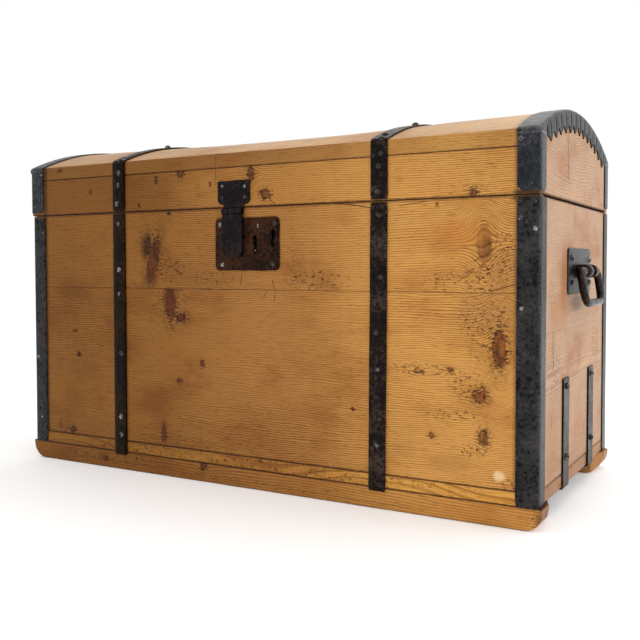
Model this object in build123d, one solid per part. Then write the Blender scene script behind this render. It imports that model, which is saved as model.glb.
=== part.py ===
from build123d import *
import math
import os

# Dome top chest of pine boards bound with iron straps. Millimetres.
# Origin at the bottom centre, +X to the right along the length, front faces -Y, +Z up.

# Wooden case
case_length = 946.0
case_depth = 442.0
board = 20.0
corner_radius = 5.0
wall_height = 399.0
front_upper_width = 131.0
end_upper_width = 187.0
bottom_boards = 3
bottom_thickness = 20.0
joint_gap = 0.2
overcut = 1.0

# Runners under the case
runner_height = 32.0
runner_width = 74.0
runner_overhang = 6.0
runner_round = 26.0

# Lid
seam_gap = 0.8
lid_overlap = 4.0
lid_offset = -2.0
rail_height = 64.0
dome_rise = 54.0
dome_planks = 4
plank_edge_round = 2.0
plank_overrun_deg = 2.0

# Corner irons and lid corner plates
iron = 2.0
iron_flange = 32.0
iron_seam_gap = 3.0
plate_side_flange = 28.0
plate_seam_gap = 6.0
plate_chamfer = 6.0
plate_bend = 3.5
plate_clearance = 0.3

# Dome bands with their snipped flange
band_width = 32.0
band_tab = 8.0
tooth_count = 13
tooth_valley = 20.5
tooth_tip = 33.0
slit_width = 0.8
slit_start = 5.0

# Straps
strap = 3.0
strap_width = 25.0
strap_left = -261.0
strap_right = 240.0
strap_bend = 8.0
strap_hang = 5.0
strap_seam_gap = 2.0
splice_front = 15.0
splice_rear = 66.0
splice_gap = 0.3

# Strap hinges at the rear
hinge_barrel = 6.0
hinge_pin_radius = 3.0
hinge_pin_head = 4.2
pin_clearance = 0.05
pin_overrun = 2.0
barrel_clearance = 0.3
knuckle_gap = 0.4
rear_leaf_length = 300.0

# Straps at the ends, turned under the bottom
end_strap_width = 33.0
end_strap_height = 160.0
end_strap_foot = 46.0
end_strap_front = -76.0
end_strap_rear = 91.0
heel_round = 2.4

# Hasp on the lid front
hasp_x = -17.0
hasp_plate_width = 63.0
hasp_plate_height = 37.5
hasp_plate_lift = 5.0
hasp_iron = 2.5
hasp_width = 39.0
hasp_strap_iron = 3.0
hasp_length = 73.0
hasp_barrel = 5.0
hasp_pin_radius = 2.2
hasp_drop = 6.0
hasp_tip_round = 7.0
hasp_pin_overrun = 0.5
hasp_cheek = 6.5
hasp_chin = 5.5

# Staple on the back of the hasp
staple_width = 5.0
staple_height = 16.0
staple_depth = 15.0
staple_eye = 6.5
staple_drop = 33.0
staple_clearance = 1.0
staple_swing = 4.5
staple_round = 2.0
staple_eye_play = 0.8

# Lock
lock_x = 8.0
lock_width = 122.0
lock_height = 84.0
lock_drop = 16.5
lock_iron = 2.5
lock_round = 8.0
mortise_margin = 7.0
mortise_depth = 15.0
mortise_clearance = 0.2
tray_wall = 1.5
bolt_length = 58.0
bolt_height = 8.0
bolt_thickness = 4.0
bolt_travel = 9.0
bolt_clearance = 0.2
bolt_inset = 6.0
bolt_gap = 0.5
talon_radius = 2.5
guide_size = 5.0
keyhole_offset = 17.0
keyhole_drop = 52.5
keyhole_radius = 4.0
keyhole_slot = 4.2
keyhole_length = 22.0
key_pin_radius = 1.6
spring_leaf = 0.8
spring_run = 12.0
spring_place = 32.0

# Drop handles on the ends
handle_y = 4.0
handle_z = 349.0
handle_plate_width = 145.0
handle_plate_height = 69.0
handle_iron = 3.0
handle_round = 5.0
handle_standoff = 16.5
lug_spacing = 36.0
lug_width = 12.0
lug_radius = 8.5
bail_rod = 5.6
bail_sides = 8
bend_facets = 4
bail_pin = 4.0
bail_span = 115.0
bail_drop = 49.0
bail_bend = 20.0
bail_shoulder = 12.0
bail_tilt = 9.5
bail_pin_reach = 2.0
collar_radius = 8.0
collar_width = 4.5

# Forged nails
nail_head = 4.2
nail_head_height = 1.8
nail_taper = 45.0
nail_shank = 2.6
nail_length = 15.0
shank_clearance = 0.1
small_head = 3.2
large_head = 5.0
iron_nail_inset = 9.0
iron_nail_top = 12.0
iron_nail_low = 45.0
iron_nail_slide = 6.0
strap_nail_upper = 19.0
strap_nail_middle = 110.0
strap_nail_lower = 245.0
strap_nail_low = 62.0
strap_nail_stagger = 3.0
lid_strap_nail_low = 22.0
lid_strap_nail_high = 47.0
dome_nail_front = -90.0
dome_nail_rear = 125.0
splice_nail_shift = 6.0
rear_strap_nail = 32.0
leaf_nail_upper = 45.0
leaf_nail_end = 15.0
end_strap_nail_low = 43.0
end_strap_nail_top = 12.0
plate_nail_inset = 24.0
plate_nail_drop = 9.0
lock_nail_inset = 4.0
hasp_nail_inset = 9.0
hasp_nail_rise = 9.5
handle_nail_inset = 11.0
handle_nail_drop = 16.0

# Heights and places worked out from the sizes above
bottom_z = runner_height
wall_z = bottom_z + bottom_thickness
seam_z = wall_z + wall_height
lid_z = seam_z + seam_gap
half_length = case_length / 2
half_depth = case_depth / 2
lid_length = case_length + lid_overlap
lid_left = lid_offset - lid_length / 2
lid_right = lid_offset + lid_length / 2
dome_radius = (half_depth ** 2 + dome_rise ** 2) / (2 * dome_rise)
inner_radius = dome_radius - board
rail_top = lid_z + rail_height
dome_centre = rail_top - math.sqrt(inner_radius ** 2 - half_depth ** 2)
shoulder_z = dome_centre + math.sqrt(dome_radius ** 2 - half_depth ** 2)
dome_top = dome_centre + dome_radius
tooth_reach = half_depth + iron - plate_side_flange - plate_clearance
tooth_pitch_deg = 2 * math.degrees(math.asin(tooth_reach / (dome_radius + iron))) / tooth_count
hinge_y = half_depth + hinge_barrel + barrel_clearance
hinge_z = seam_z + seam_gap / 2
hasp_y = -(half_depth + hasp_barrel + barrel_clearance)
hasp_z = seam_z - hasp_drop
lock_z = seam_z - lock_drop - lock_height / 2
bolt_z = hasp_z - staple_drop
bolt_y = -half_depth + bolt_inset
handle_x = half_length + handle_standoff
ends = (-1, 1)
strap_centres = (strap_left, strap_right)
end_strap_places = (end_strap_front, end_strap_rear)

solids = {}
cutters = {}


def block(x0, x1, y0, y1, z0, z1):
    """Box between two corners."""
    middle = Pos((x0 + x1) / 2, (y0 + y1) / 2, (z0 + z1) / 2)
    return middle * Box(x1 - x0, y1 - y0, z1 - z0)


def side_extrude(sketch, x0, x1):
    """Section drawn in Y and Z, drawn out along X."""
    return extrude(Plane.YZ.offset(x0) * sketch, x1 - x0)


def add(name, *pieces):
    """Put solids into a named piece of the chest."""
    solids.setdefault(name, []).extend(pieces)


def tube(radius, x0, x1, y, z):
    """Round bar along X."""
    return Pos((x0 + x1) / 2, y, z) * Rot(0, 90, 0) * Cylinder(radius, x1 - x0)


def turned_bar(radius, y0, y1, x, z):
    """Round bar along Y."""
    return Pos(x, (y0 + y1) / 2, z) * Rot(90, 0, 0) * Cylinder(radius, y1 - y0)


# Wooden case
def case_plan(grow):
    """Plan of the case with its rounded upright corners."""
    return RectangleRounded(case_length + 2 * grow, case_depth + 2 * grow, corner_radius + grow)


def wall_board(y_side, z0, z1):
    """Long board of the front or rear, its outer upright corners rounded."""
    inner = half_depth - board
    low, high = sorted((y_side * inner, y_side * (half_depth + overcut)))
    strip = block(-half_length, half_length, low, high, z0, z1)
    return strip & extrude(Plane.XY.offset(z0) * case_plan(0), z1 - z0)


def end_board(x_side, z0, z1):
    """Short board between the front and rear walls."""
    outer, inner = x_side * half_length, x_side * (half_length - board)
    reach = half_depth - board
    return block(min(outer, inner), max(outer, inner), -reach, reach, z0, z1)


def make_case_boards():
    front_joint = seam_z - front_upper_width
    end_joint = seam_z - end_upper_width
    for side, name in ((-1, "front"), (1, "rear")):
        add(f"{name}_board_lower", wall_board(side, wall_z, front_joint - joint_gap))
        add(f"{name}_board_upper", wall_board(side, front_joint, seam_z))
    for side, name in ((-1, "left"), (1, "right")):
        add(f"end_board_{name}_lower", end_board(side, wall_z, end_joint - joint_gap))
        add(f"end_board_{name}_upper", end_board(side, end_joint, seam_z))
    plan = extrude(Plane.XY.offset(bottom_z) * case_plan(0), bottom_thickness)
    step = case_depth / bottom_boards
    for number in range(bottom_boards):
        low = -half_depth + number * step
        strip = block(-half_length, half_length, low, low + step - joint_gap, bottom_z, wall_z)
        add(f"bottom_board_{number + 1}", strip & plan)


def make_runners():
    """Battens under the front and rear edges, the lower corners of their ends rounded off."""
    reach = half_length + runner_overhang
    outline = Rectangle(2 * reach, runner_height)
    low = outline.vertices().sort_by(Axis.Y)[:2]
    outline = fillet(low, runner_round)
    for side, name in ((-1, "front"), (1, "rear")):
        near = side * half_depth
        far = side * (half_depth - runner_width)
        bar = extrude(Plane.XZ.offset(-max(near, far)) * Pos(0, runner_height / 2) * outline, runner_width)
        add(f"runner_{name}", bar)


# Lid
def lid_section(grow, side_grow, bend):
    """Cross section of the lid: upright sides under a round top."""
    disc = Pos(0, dome_centre) * Circle(dome_radius + grow)
    height = dome_radius + grow
    width = 2 * (half_depth + side_grow)
    section = disc & (Pos(0, lid_z + height / 2) * Rectangle(width, height))
    if bend > 0:
        shoulders = section.vertices().sort_by(Axis.Y)[-2:]
        section = fillet(shoulders, bend)
    return section


def inner_disc():
    return Pos(0, dome_centre) * Circle(inner_radius)


def make_lid_frame():
    """Rails and arched ends that carry the dome."""
    tall = dome_radius
    for side, name in ((-1, "front"), (1, "rear")):
        middle = side * (half_depth - board / 2)
        strip = Pos(middle, lid_z + tall / 2) * Rectangle(board, tall)
        add(f"lid_{name}_rail", side_extrude(strip & inner_disc(), lid_left, lid_right))
    between = Pos(0, lid_z + tall / 2) * Rectangle(case_depth - 2 * board, tall)
    arch = between & inner_disc()
    add("lid_end_left", side_extrude(arch, lid_left, lid_left + board))
    add("lid_end_right", side_extrude(arch, lid_right - board, lid_right))


def make_dome_planks():
    """Planks laid side by side over the arched ends."""
    shell = lid_section(0, 0, plank_edge_round) - inner_disc()
    half = math.degrees(math.asin(half_depth / dome_radius))
    edge = half + plank_overrun_deg
    step = 2 * half / dome_planks
    half_gap = math.degrees(joint_gap / 2 / dome_radius)
    reach = 2 * dome_radius
    for number in range(dome_planks):
        start = -edge if number == 0 else -half + number * step + half_gap
        stop = edge if number == dome_planks - 1 else -half + (number + 1) * step - half_gap
        corners = [(0, dome_centre)]
        for angle in (start, (start + stop) / 2, stop):
            turn = math.radians(angle)
            corners.append((reach * math.sin(turn), dome_centre + reach * math.cos(turn)))
        wedge = make_face(Polyline(*corners, close=True))
        top = Pos(0, dome_top) * Rectangle(case_depth + overcut, 2 * (dome_top - rail_top) + overcut)
        add(f"dome_plank_{number + 1}", side_extrude(shell & wedge & top, lid_left, lid_right))


# Ironwork on the corners
def make_corner_irons():
    """Angle irons on the upright corners, bent round the corner of the wood."""
    ring = case_plan(iron) - case_plan(0)
    for x_side, x_name in ((-1, "left"), (1, "right")):
        for y_side, y_name in ((-1, "front"), (1, "rear")):
            inset = iron - iron_flange / 2
            at = Pos(x_side * (half_length + inset), y_side * (half_depth + inset))
            angle = ring & (at * Rectangle(iron_flange, iron_flange))
            low = bottom_z
            bar = extrude(Plane.XY.offset(low) * angle, seam_z - iron_seam_gap - low)
            add(f"corner_iron_{y_name}_{x_name}", bar)


def make_lid_corner_plates():
    """Corner plates of the lid, cut to the curve of the dome, with clipped lower corners."""
    outer = RectangleRounded(lid_length + 2 * iron, case_depth + 2 * iron, plate_bend)
    ring = Pos(lid_offset, 0) * (outer - Rectangle(lid_length, case_depth))
    low = seam_z + plate_seam_gap
    disc = Pos(0, dome_centre) * Circle(dome_radius)
    dome = side_extrude(disc, lid_left - iron_flange, lid_right + iron_flange)
    side = plate_chamfer * math.sqrt(2)
    reach = iron_flange
    for x_side, x_name in ((-1, "left"), (1, "right")):
        for y_side, y_name in ((-1, "front"), (1, "rear")):
            x_edge = lid_offset + x_side * (lid_length / 2 + iron)
            y_edge = y_side * (half_depth + iron)
            x_end = x_edge - x_side * iron_flange
            y_end = y_edge - y_side * plate_side_flange
            middle = Pos((x_edge + x_end) / 2, (y_edge + y_end) / 2)
            angle = ring & (middle * Rectangle(iron_flange, plate_side_flange))
            plate = extrude(Plane.XY.offset(low) * angle, dome_top - low) & dome
            front_clip = Pos(x_end, y_edge, low) * Rot(0, 45, 0) * Box(side, reach, side)
            side_clip = Pos(x_edge, y_end, low) * Rot(45, 0, 0) * Box(reach, side, side)
            add(f"lid_corner_{y_name}_{x_name}", plate - front_clip - side_clip)


def tooth_ring():
    """Snipped flange in Y and Z: pointed teeth at the slits, pointed arches between them."""
    half = tooth_count / 2
    inner = []
    for step in range(2 * tooth_count + 1):
        angle = math.radians((step / 2 - half) * tooth_pitch_deg)
        drop = tooth_valley if step % 2 == 0 else tooth_tip
        radius = dome_radius - drop
        inner.append((radius * math.sin(angle), dome_centre + radius * math.cos(angle)))
    edge = math.radians(half * tooth_pitch_deg)
    top = dome_radius + 2 * iron
    points = [(top * math.tan(edge), dome_centre + top), (-top * math.tan(edge), dome_centre + top)]
    fan = make_face(Polyline(*(inner + points), close=True))
    flange = fan & (Pos(0, dome_centre) * Circle(dome_radius + iron))
    for number in range(tooth_count):
        angle = (number + 0.5 - half) * tooth_pitch_deg
        length = tooth_tip + overcut - slit_start
        middle = dome_radius - slit_start - length / 2
        turn = Pos(0, dome_centre) * Rot(0, 0, -angle) * Pos(0, middle)
        flange = flange - (turn * Rectangle(slit_width, length))
    return flange


def make_dome_bands():
    """Sheet iron over each end of the dome, turned down over the end with a snipped flange."""
    strip = lid_section(iron, 2 * iron, 0) - lid_section(0, iron, 0)
    height = shoulder_z - band_tab
    keep = Pos(0, height + dome_radius / 2) * Rectangle(2 * case_depth, dome_radius)
    strip = strip & keep
    flange = tooth_ring()
    for side, name, edge in ((-1, "left", lid_left), (1, "right", lid_right)):
        inner = edge - side * (band_width - iron)
        outer = edge + side * iron
        bent = side_extrude(strip, min(inner, outer), max(inner, outer))
        teeth = side_extrude(flange, min(edge, outer), max(edge, outer))
        add(f"dome_band_{name}", bent + teeth)


# Straps and strap hinges
def strap_skin(thickness):
    """Section of a strap that follows the outside of the lid."""
    return lid_section(thickness, thickness, strap_bend) - lid_section(0, 0, plank_edge_round)


def slot_region(y0, y1):
    """Upright slice of the lid section between two depths."""
    return Pos((y0 + y1) / 2, dome_top) * Rectangle(y1 - y0, 2 * (dome_top - lid_z))


def make_straps():
    low = bottom_z - strap_hang
    case_top = seam_z - strap_seam_gap
    front = -half_depth
    for number, centre in enumerate(strap_centres):
        name = ("left", "right")[number]
        x0, x1 = centre - strap_width / 2, centre + strap_width / 2
        add(f"case_strap_{name}", block(x0, x1, front - strap, front, low, case_top))
        lower_edge = lid_z + strap_seam_gap
        lift = Pos(0, lower_edge + dome_radius / 2) * Rectangle(3 * case_depth, dome_radius)
        skin = strap_skin(strap) & lift & slot_region(-case_depth, splice_rear)
        add(f"lid_strap_{name}", side_extrude(skin, x0, x1))
        add_hinge(name, x0, x1)


def add_hinge(name, x0, x1):
    """Strap hinge: a leaf down the rear wall and a long leaf over the dome, on one pin."""
    width = (x1 - x0 - 2 * knuckle_gap) / 3
    cuts = (x0, x0 + width, x0 + width + knuckle_gap, x1 - width - knuckle_gap, x1 - width, x1)
    bore = tube(hinge_pin_radius + pin_clearance, x0 - overcut, x1 + overcut, hinge_y, hinge_z)
    clear = hinge_barrel + barrel_clearance
    face = half_depth
    low = hinge_z - rear_leaf_length
    leaf = block(x0, x1, face, face + strap, low, hinge_z)
    window = tube(clear, cuts[1], cuts[4], hinge_y, hinge_z)
    near, far = face - overcut, face + strap + overcut
    notch = block(cuts[1], cuts[4], near, far, hinge_z - clear, hinge_z + overcut)
    leaf = leaf - window - notch
    for left, right in ((cuts[0], cuts[1]), (cuts[4], cuts[5])):
        leaf = leaf + tube(hinge_barrel, left, right, hinge_y, hinge_z)
    add(f"hinge_leaf_{name}", leaf - bore)

    above = Pos(0, hinge_z + dome_radius / 2) * Rectangle(3 * case_depth, dome_radius)
    skin = strap_skin(strap) & above & slot_region(splice_rear + splice_gap, case_depth)
    raised = lid_section(2 * strap, 2 * strap, 0) - lid_section(strap, strap, 0)
    raised = raised & slot_region(splice_front, splice_rear + splice_gap + strap)
    long_leaf = side_extrude(skin, x0, x1) + side_extrude(raised, x0, x1)
    for left, right in ((cuts[0], cuts[2]), (cuts[3], cuts[5])):
        gap = tube(clear, left, right, hinge_y, hinge_z)
        long_leaf = long_leaf - gap
        long_leaf = long_leaf - block(left, right, near, far, hinge_z - overcut, hinge_z + clear)
    long_leaf = long_leaf + tube(hinge_barrel, cuts[2], cuts[3], hinge_y, hinge_z)
    add(f"hinge_strap_{name}", long_leaf - bore)

    pin_start = x0 - joint_gap
    pin = tube(hinge_pin_radius, pin_start, x1 + pin_overrun, hinge_y, hinge_z)
    head = tube(hinge_pin_head, pin_start - pin_overrun, pin_start, hinge_y, hinge_z)
    add("hinge_pins", pin + head)


def make_end_straps():
    """Straps down the ends that turn under the bottom boards and hold them up."""
    low = bottom_z
    for side, name in ((-1, "left"), (1, "right")):
        for place in end_strap_places:
            y0, y1 = place - end_strap_width / 2, place + end_strap_width / 2
            face = side * half_length
            outer = side * (half_length + strap)
            foot = side * (half_length - end_strap_foot)
            leg = block(min(face, outer), max(face, outer), y0, y1, low - strap, low + end_strap_height)
            turned = block(min(foot, outer), max(foot, outer), y0, y1, low - strap, low)
            bent = leg + turned
            heel = bent.edges().filter_by(Axis.Y).sort_by(lambda e: e.center().Z - side * e.center().X)[:1]
            add(f"end_straps_{name}", fillet(heel, heel_round))


# Hasp and lock
def make_hasp():
    """Hinged hasp: a plate on the lid, a strap with a round tip, and a staple on its back."""
    width = hasp_width
    third = (width - 2 * knuckle_gap) / 3
    x0, x1 = hasp_x - width / 2, hasp_x + width / 2
    cuts = (x0, x0 + third, x0 + third + knuckle_gap, x1 - third - knuckle_gap, x1 - third, x1)
    clear = hasp_barrel + barrel_clearance
    face = -half_depth
    plate_low = lid_z + hasp_plate_lift
    neck = (hasp_plate_width - width) / 2
    outline = Polyline(
        (x0, hasp_z), (x0, plate_low), (x0 - hasp_cheek, plate_low), (x0 - neck, plate_low + hasp_chin),
        (x0 - neck, plate_low + hasp_plate_height), (x1 + neck, plate_low + hasp_plate_height),
        (x1 + neck, plate_low + hasp_chin), (x1 + hasp_cheek, plate_low), (x1, plate_low),
        (x1, hasp_z), close=True)
    plate = extrude(Plane.XZ.offset(-face) * make_face(outline), hasp_iron)
    bore = tube(hasp_pin_radius + pin_clearance, x0 - overcut, x1 + overcut, hasp_y, hasp_z)
    near, far = face - hasp_iron - overcut, face + overcut
    window = block(cuts[1], cuts[4], near, far, hasp_z - overcut, hasp_z + clear)
    plate = plate - window
    for left, right in ((cuts[0], cuts[1]), (cuts[4], cuts[5])):
        plate = plate + tube(hasp_barrel, left, right, hasp_y, hasp_z)
    add("hasp_plate", plate - bore)
    add("hasp_pin", tube(hasp_pin_radius, x0 - hasp_pin_overrun, x1 + hasp_pin_overrun, hasp_y, hasp_z))

    back = hasp_y + hasp_strap_iron / 2
    tip = hasp_z - hasp_length
    shape = Pos(hasp_x, (hasp_z + tip) / 2) * Rectangle(width, hasp_length)
    lower = shape.vertices().sort_by(Axis.Y)[:2]
    shape = fillet(lower, hasp_tip_round)
    strip = extrude(Plane.XZ.offset(-back) * shape, hasp_strap_iron)
    for left, right in ((cuts[0] - overcut, cuts[2]), (cuts[3], cuts[5] + overcut)):
        strip = strip - block(left, right, back - clear, back + clear, hasp_z - clear, hasp_z + clear)
    strip = strip + tube(hasp_barrel, cuts[2], cuts[3], hasp_y, hasp_z)
    add("hasp_strap", strip - bore)
    loop = block(hasp_x - staple_width / 2, hasp_x + staple_width / 2, back, back + staple_depth,
                 bolt_z - staple_height / 2, bolt_z + staple_height / 2)
    eye = block(hasp_x - staple_width, hasp_x + staple_width,
                bolt_y - staple_eye / 2, bolt_y + staple_eye / 2,
                bolt_z - bolt_height / 2 - staple_eye_play, bolt_z + bolt_height / 2 + staple_eye_play)
    inner_end = loop.edges().filter_by(Axis.X).sort_by(Axis.Y)[-2:]
    add("hasp_staple", fillet(inner_end, staple_round) - eye)


def make_lock():
    """Mortised lock: front plate with a keyhole, tray, sliding bolt, key pin and leaf spring."""
    face = -half_depth
    slot_x0 = hasp_x - staple_width / 2 - staple_clearance
    slot_x1 = hasp_x + staple_width / 2 + staple_clearance
    slot_z0 = bolt_z - staple_height / 2 - staple_swing
    slot_z1 = bolt_z + staple_height / 2 + staple_clearance
    key_x = lock_x + keyhole_offset
    key_z = seam_z - lock_drop - keyhole_drop
    outline = Pos(lock_x, lock_z) * RectangleRounded(lock_width, lock_height, lock_round)
    keyhole = Pos(key_x, key_z) * Circle(keyhole_radius)
    keyhole = keyhole + Pos(key_x, key_z + keyhole_length / 2) * Rectangle(keyhole_slot, keyhole_length)
    slot_middle = Pos((slot_x0 + slot_x1) / 2, (slot_z0 + slot_z1) / 2)
    slot = slot_middle * Rectangle(slot_x1 - slot_x0, slot_z1 - slot_z0)
    plate = extrude(Plane.XZ.offset(-face) * (outline - keyhole - slot), lock_iron)
    add("lock_plate", plate)

    width = lock_width - 2 * mortise_margin
    height = lock_height - 2 * mortise_margin
    x0, x1 = lock_x - width / 2, lock_x + width / 2
    z0, z1 = lock_z - height / 2, lock_z + height / 2
    bottom = face + mortise_depth
    play = mortise_clearance
    mouth = face - overcut
    pocket = block(x0 - play, x1 + play, mouth, bottom + play, z0 - play, z1 + play)
    cutters.setdefault("front_board_upper", []).append(pocket)
    tray = block(x0, x1, face, bottom, z0, z1)
    floor = bottom - tray_wall
    hollow = block(x0 + tray_wall, x1 - tray_wall, mouth, floor, z0 + tray_wall, z1 - tray_wall)
    tray = tray - hollow
    bolt_x0 = hasp_x + staple_width / 2 + staple_clearance + bolt_gap
    bolt_x1 = bolt_x0 + bolt_length
    for across in (bolt_x0 + bolt_travel, bolt_x1 - bolt_travel - guide_size):
        for side in (-1, 1):
            near = bolt_z + side * (bolt_height / 2 + bolt_clearance)
            far = near + side * guide_size
            reach = bolt_y - bolt_thickness / 2
            tray = tray + block(across, across + guide_size, reach, floor, min(near, far), max(near, far))
            back = bolt_y + bolt_thickness / 2 + bolt_clearance
            low, high = bolt_z - bolt_height, bolt_z + bolt_height
            tray = tray + block(across, across + guide_size, back, floor, low, high)
    add("lock_case", tray)
    bar = block(bolt_x0, bolt_x1, bolt_y - bolt_thickness / 2, bolt_y + bolt_thickness / 2,
                bolt_z - bolt_height / 2, bolt_z + bolt_height / 2)
    notch = Rot(90, 0, 0) * Cylinder(talon_radius, 2 * bolt_thickness)
    talon = Pos(key_x, bolt_y, bolt_z - bolt_height / 2) * notch
    add("lock_bolt", bar - talon)
    post = Pos(key_x, (face - lock_iron + floor) / 2, key_z) * Rot(90, 0, 0)
    add("lock_key_pin", post * Cylinder(key_pin_radius, floor - face + lock_iron))
    spring_x = bolt_x0 + spring_place
    top = z1 - tray_wall
    rest = bolt_z + bolt_height / 2 + bolt_clearance
    leaf = make_face(Polyline(
        (spring_x - spring_run, top), (spring_x, rest + spring_leaf), (spring_x + spring_run, top),
        (spring_x + spring_run, top - spring_leaf), (spring_x, rest),
        (spring_x - spring_run, top - spring_leaf), close=True))
    add("lock_spring", extrude(Plane.XZ.offset(-(bolt_y - bolt_thickness / 2)) * leaf, -bolt_thickness))


# Handles
def make_handle(side, name):
    """Drop handle: plate, two lugs and a bail whose ends turn in through the lugs."""
    face = side * half_length
    outer = side * (half_length + handle_iron)
    flat = RectangleRounded(handle_plate_width, handle_plate_height, handle_round)
    outline = Pos(handle_y, handle_z) * flat
    add(f"handle_plate_{name}", side_extrude(outline, min(face, outer), max(face, outer)))
    pivot_x = side * handle_x
    bore_radius = bail_pin + pin_clearance
    for lug_side in ends:
        y_mid = handle_y + lug_side * lug_spacing / 2
        eye = turned_bar(lug_radius, y_mid - lug_width / 2, y_mid + lug_width / 2, pivot_x, handle_z)
        web = block(min(outer, pivot_x), max(outer, pivot_x), y_mid - lug_width / 2, y_mid + lug_width / 2,
                    handle_z - lug_radius, handle_z + lug_radius)
        lug = eye + web
        bore = turned_bar(bore_radius, y_mid - lug_width, y_mid + lug_width, pivot_x, handle_z)
        add("handle_lugs", lug - bore)
    add(f"bail_{name}", make_bail(side, pivot_x))


def bend_points(y, z, radius, start, stop):
    """Stations round a hammered bend, close enough together to read as a curve."""
    points = []
    for step in range(bend_facets + 1):
        turn = math.radians(start + (stop - start) * step / bend_facets)
        points.append((0, y + radius * math.cos(turn), z + radius * math.sin(turn)))
    return points


def make_bail(side, pivot_x):
    """Bail of forged eight sided bar, drawn hanging and then tilted out about its pivot."""
    lug_outer = lug_spacing / 2 + lug_width / 2 + barrel_clearance
    lug_inner = lug_spacing / 2 - lug_width / 2 - bail_pin_reach
    half = bail_span / 2
    route = [(0, lug_outer, 0)]
    route += bend_points(half - bail_shoulder, -bail_shoulder, bail_shoulder, 90, 0)
    route += bend_points(half - bail_bend, bail_bend - bail_drop, bail_bend, 0, -90)
    route += [(0, -y, z) for _, y, z in reversed(route)]
    bar_end = Plane(origin=route[0], z_dir=(0, 1, 0))
    section = bar_end * RegularPolygon(bail_rod, bail_sides)
    rod = sweep(section, Polyline(*route), transition=Transition.RIGHT)
    for end in ends:
        y0, y1 = sorted((end * lug_inner, end * (lug_outer + overcut)))
        rod = rod + turned_bar(bail_pin, y0, y1, 0, 0)
        collar = extrude(Plane.XZ * RegularPolygon(collar_radius, bail_sides), collar_width / 2, both=True)
        rod = rod + Pos(0, end * (lug_outer + collar_width / 2), 0) * collar
    tilt = Rot(0, -side * bail_tilt, 0)
    return Pos(pivot_x, handle_y, handle_z) * tilt * rod


# Nails
def drive_nail(group, at, normal, through, head=nail_head, length=nail_length, sink=0.0):
    """Forged nail with a faceted head at a point on the iron, and square holes for its shank."""
    seat = Plane(origin=at, z_dir=normal).location
    base = make_face(Polyline((head, 0), (0, head), (-head, 0), (0, -head), close=True))
    cap = extrude(base, nail_head_height, taper=nail_taper)
    shank = Pos(0, 0, -length / 2) * Rot(0, 0, 45) * Box(nail_shank, nail_shank, length)
    add(group, seat * (cap + shank))
    wide = nail_shank + 2 * shank_clearance
    hole = Pos(0, 0, 1 - (length + 2) / 2) * Rot(0, 0, 45) * Box(wide, wide, length + 2)
    for name in through:
        cutters.setdefault(name, []).append(seat * hole)


def front_board_at(z):
    return "front_board_upper" if z > seam_z - front_upper_width else "front_board_lower"


def rear_board_at(z):
    return "rear_board_upper" if z > seam_z - front_upper_width else "rear_board_lower"


def end_board_at(name, z):
    level = "upper" if z > seam_z - end_upper_width else "lower"
    return f"end_board_{name}_{level}"


def dome_point(y, lift):
    """Point on the dome and its outward normal at a depth."""
    radius = dome_radius + lift
    z = dome_centre + math.sqrt(radius ** 2 - y ** 2)
    return z, (0, y / radius, (z - dome_centre) / radius)


def plank_at(y):
    half = math.degrees(math.asin(half_depth / dome_radius))
    turn = math.degrees(math.asin(y / dome_radius))
    return f"dome_plank_{1 + int((turn + half) / (2 * half) * dome_planks)}"


def nail_case_irons():
    inset = iron_flange - iron_nail_inset
    front_heights = (seam_z - iron_nail_top, bottom_z + iron_nail_low)
    for x_side, x_name in ((-1, "left"), (1, "right")):
        for y_side, y_name in ((-1, "front"), (1, "rear")):
            bar = f"corner_iron_{y_name}_{x_name}"
            for number, z in enumerate(front_heights):
                slide = iron_nail_slide if number % 2 else 0.0
                at = (x_side * (half_length - inset + slide), y_side * (half_depth + iron), z)
                wall = front_board_at(z) if y_side < 0 else rear_board_at(z)
                drive_nail("case_nails", at, (0, y_side, 0), (bar, wall))


def nail_straps():
    drops = (strap_nail_upper, strap_nail_middle, strap_nail_lower)
    case_heights = [seam_z - drop for drop in drops] + [bottom_z + strap_nail_low]
    for number, centre in enumerate(strap_centres):
        name = ("left", "right")[number]
        for step, z in enumerate(case_heights):
            x = centre + strap_nail_stagger * (1 - 2 * (step % 2))
            at = (x, -half_depth - strap, z)
            drive_nail("case_nails", at, (0, -1, 0), (f"case_strap_{name}", front_board_at(z)))
        for rise in (lid_strap_nail_low, lid_strap_nail_high):
            at = (centre, -half_depth - strap, lid_z + rise)
            drive_nail("lid_nails", at, (0, -1, 0), (f"lid_strap_{name}", "lid_front_rail"))
        y = dome_nail_front
        z, normal = dome_point(y, strap)
        drive_nail("lid_nails", (centre, y, z), normal, (f"lid_strap_{name}", plank_at(y)), head=large_head)
        y = (splice_front + splice_rear) / 2 - splice_nail_shift
        z, normal = dome_point(y, 2 * strap)
        through = (f"hinge_strap_{name}", f"lid_strap_{name}", plank_at(y))
        drive_nail("lid_nails", (centre, y, z), normal, through, head=large_head)
        y = dome_nail_rear
        z, normal = dome_point(y, strap)
        drive_nail("lid_nails", (centre, y, z), normal, (f"hinge_strap_{name}", plank_at(y)))
        at = (centre, half_depth + strap, lid_z + rear_strap_nail)
        drive_nail("lid_nails", at, (0, 1, 0), (f"hinge_strap_{name}", "lid_rear_rail"))
        for drop in (leaf_nail_upper, rear_leaf_length - leaf_nail_end):
            z = hinge_z - drop
            at = (centre, half_depth + strap, z)
            drive_nail("case_nails", at, (0, 1, 0), (f"hinge_leaf_{name}", rear_board_at(z)))


def nail_end_straps():
    for side, name in ((-1, "left"), (1, "right")):
        for place in end_strap_places:
            for z in (bottom_z + end_strap_nail_low, bottom_z + end_strap_height - end_strap_nail_top):
                at = (side * (half_length + strap), place, z)
                through = (f"end_straps_{name}", end_board_at(name, z))
                drive_nail("case_nails", at, (side, 0, 0), through, head=large_head)


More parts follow.
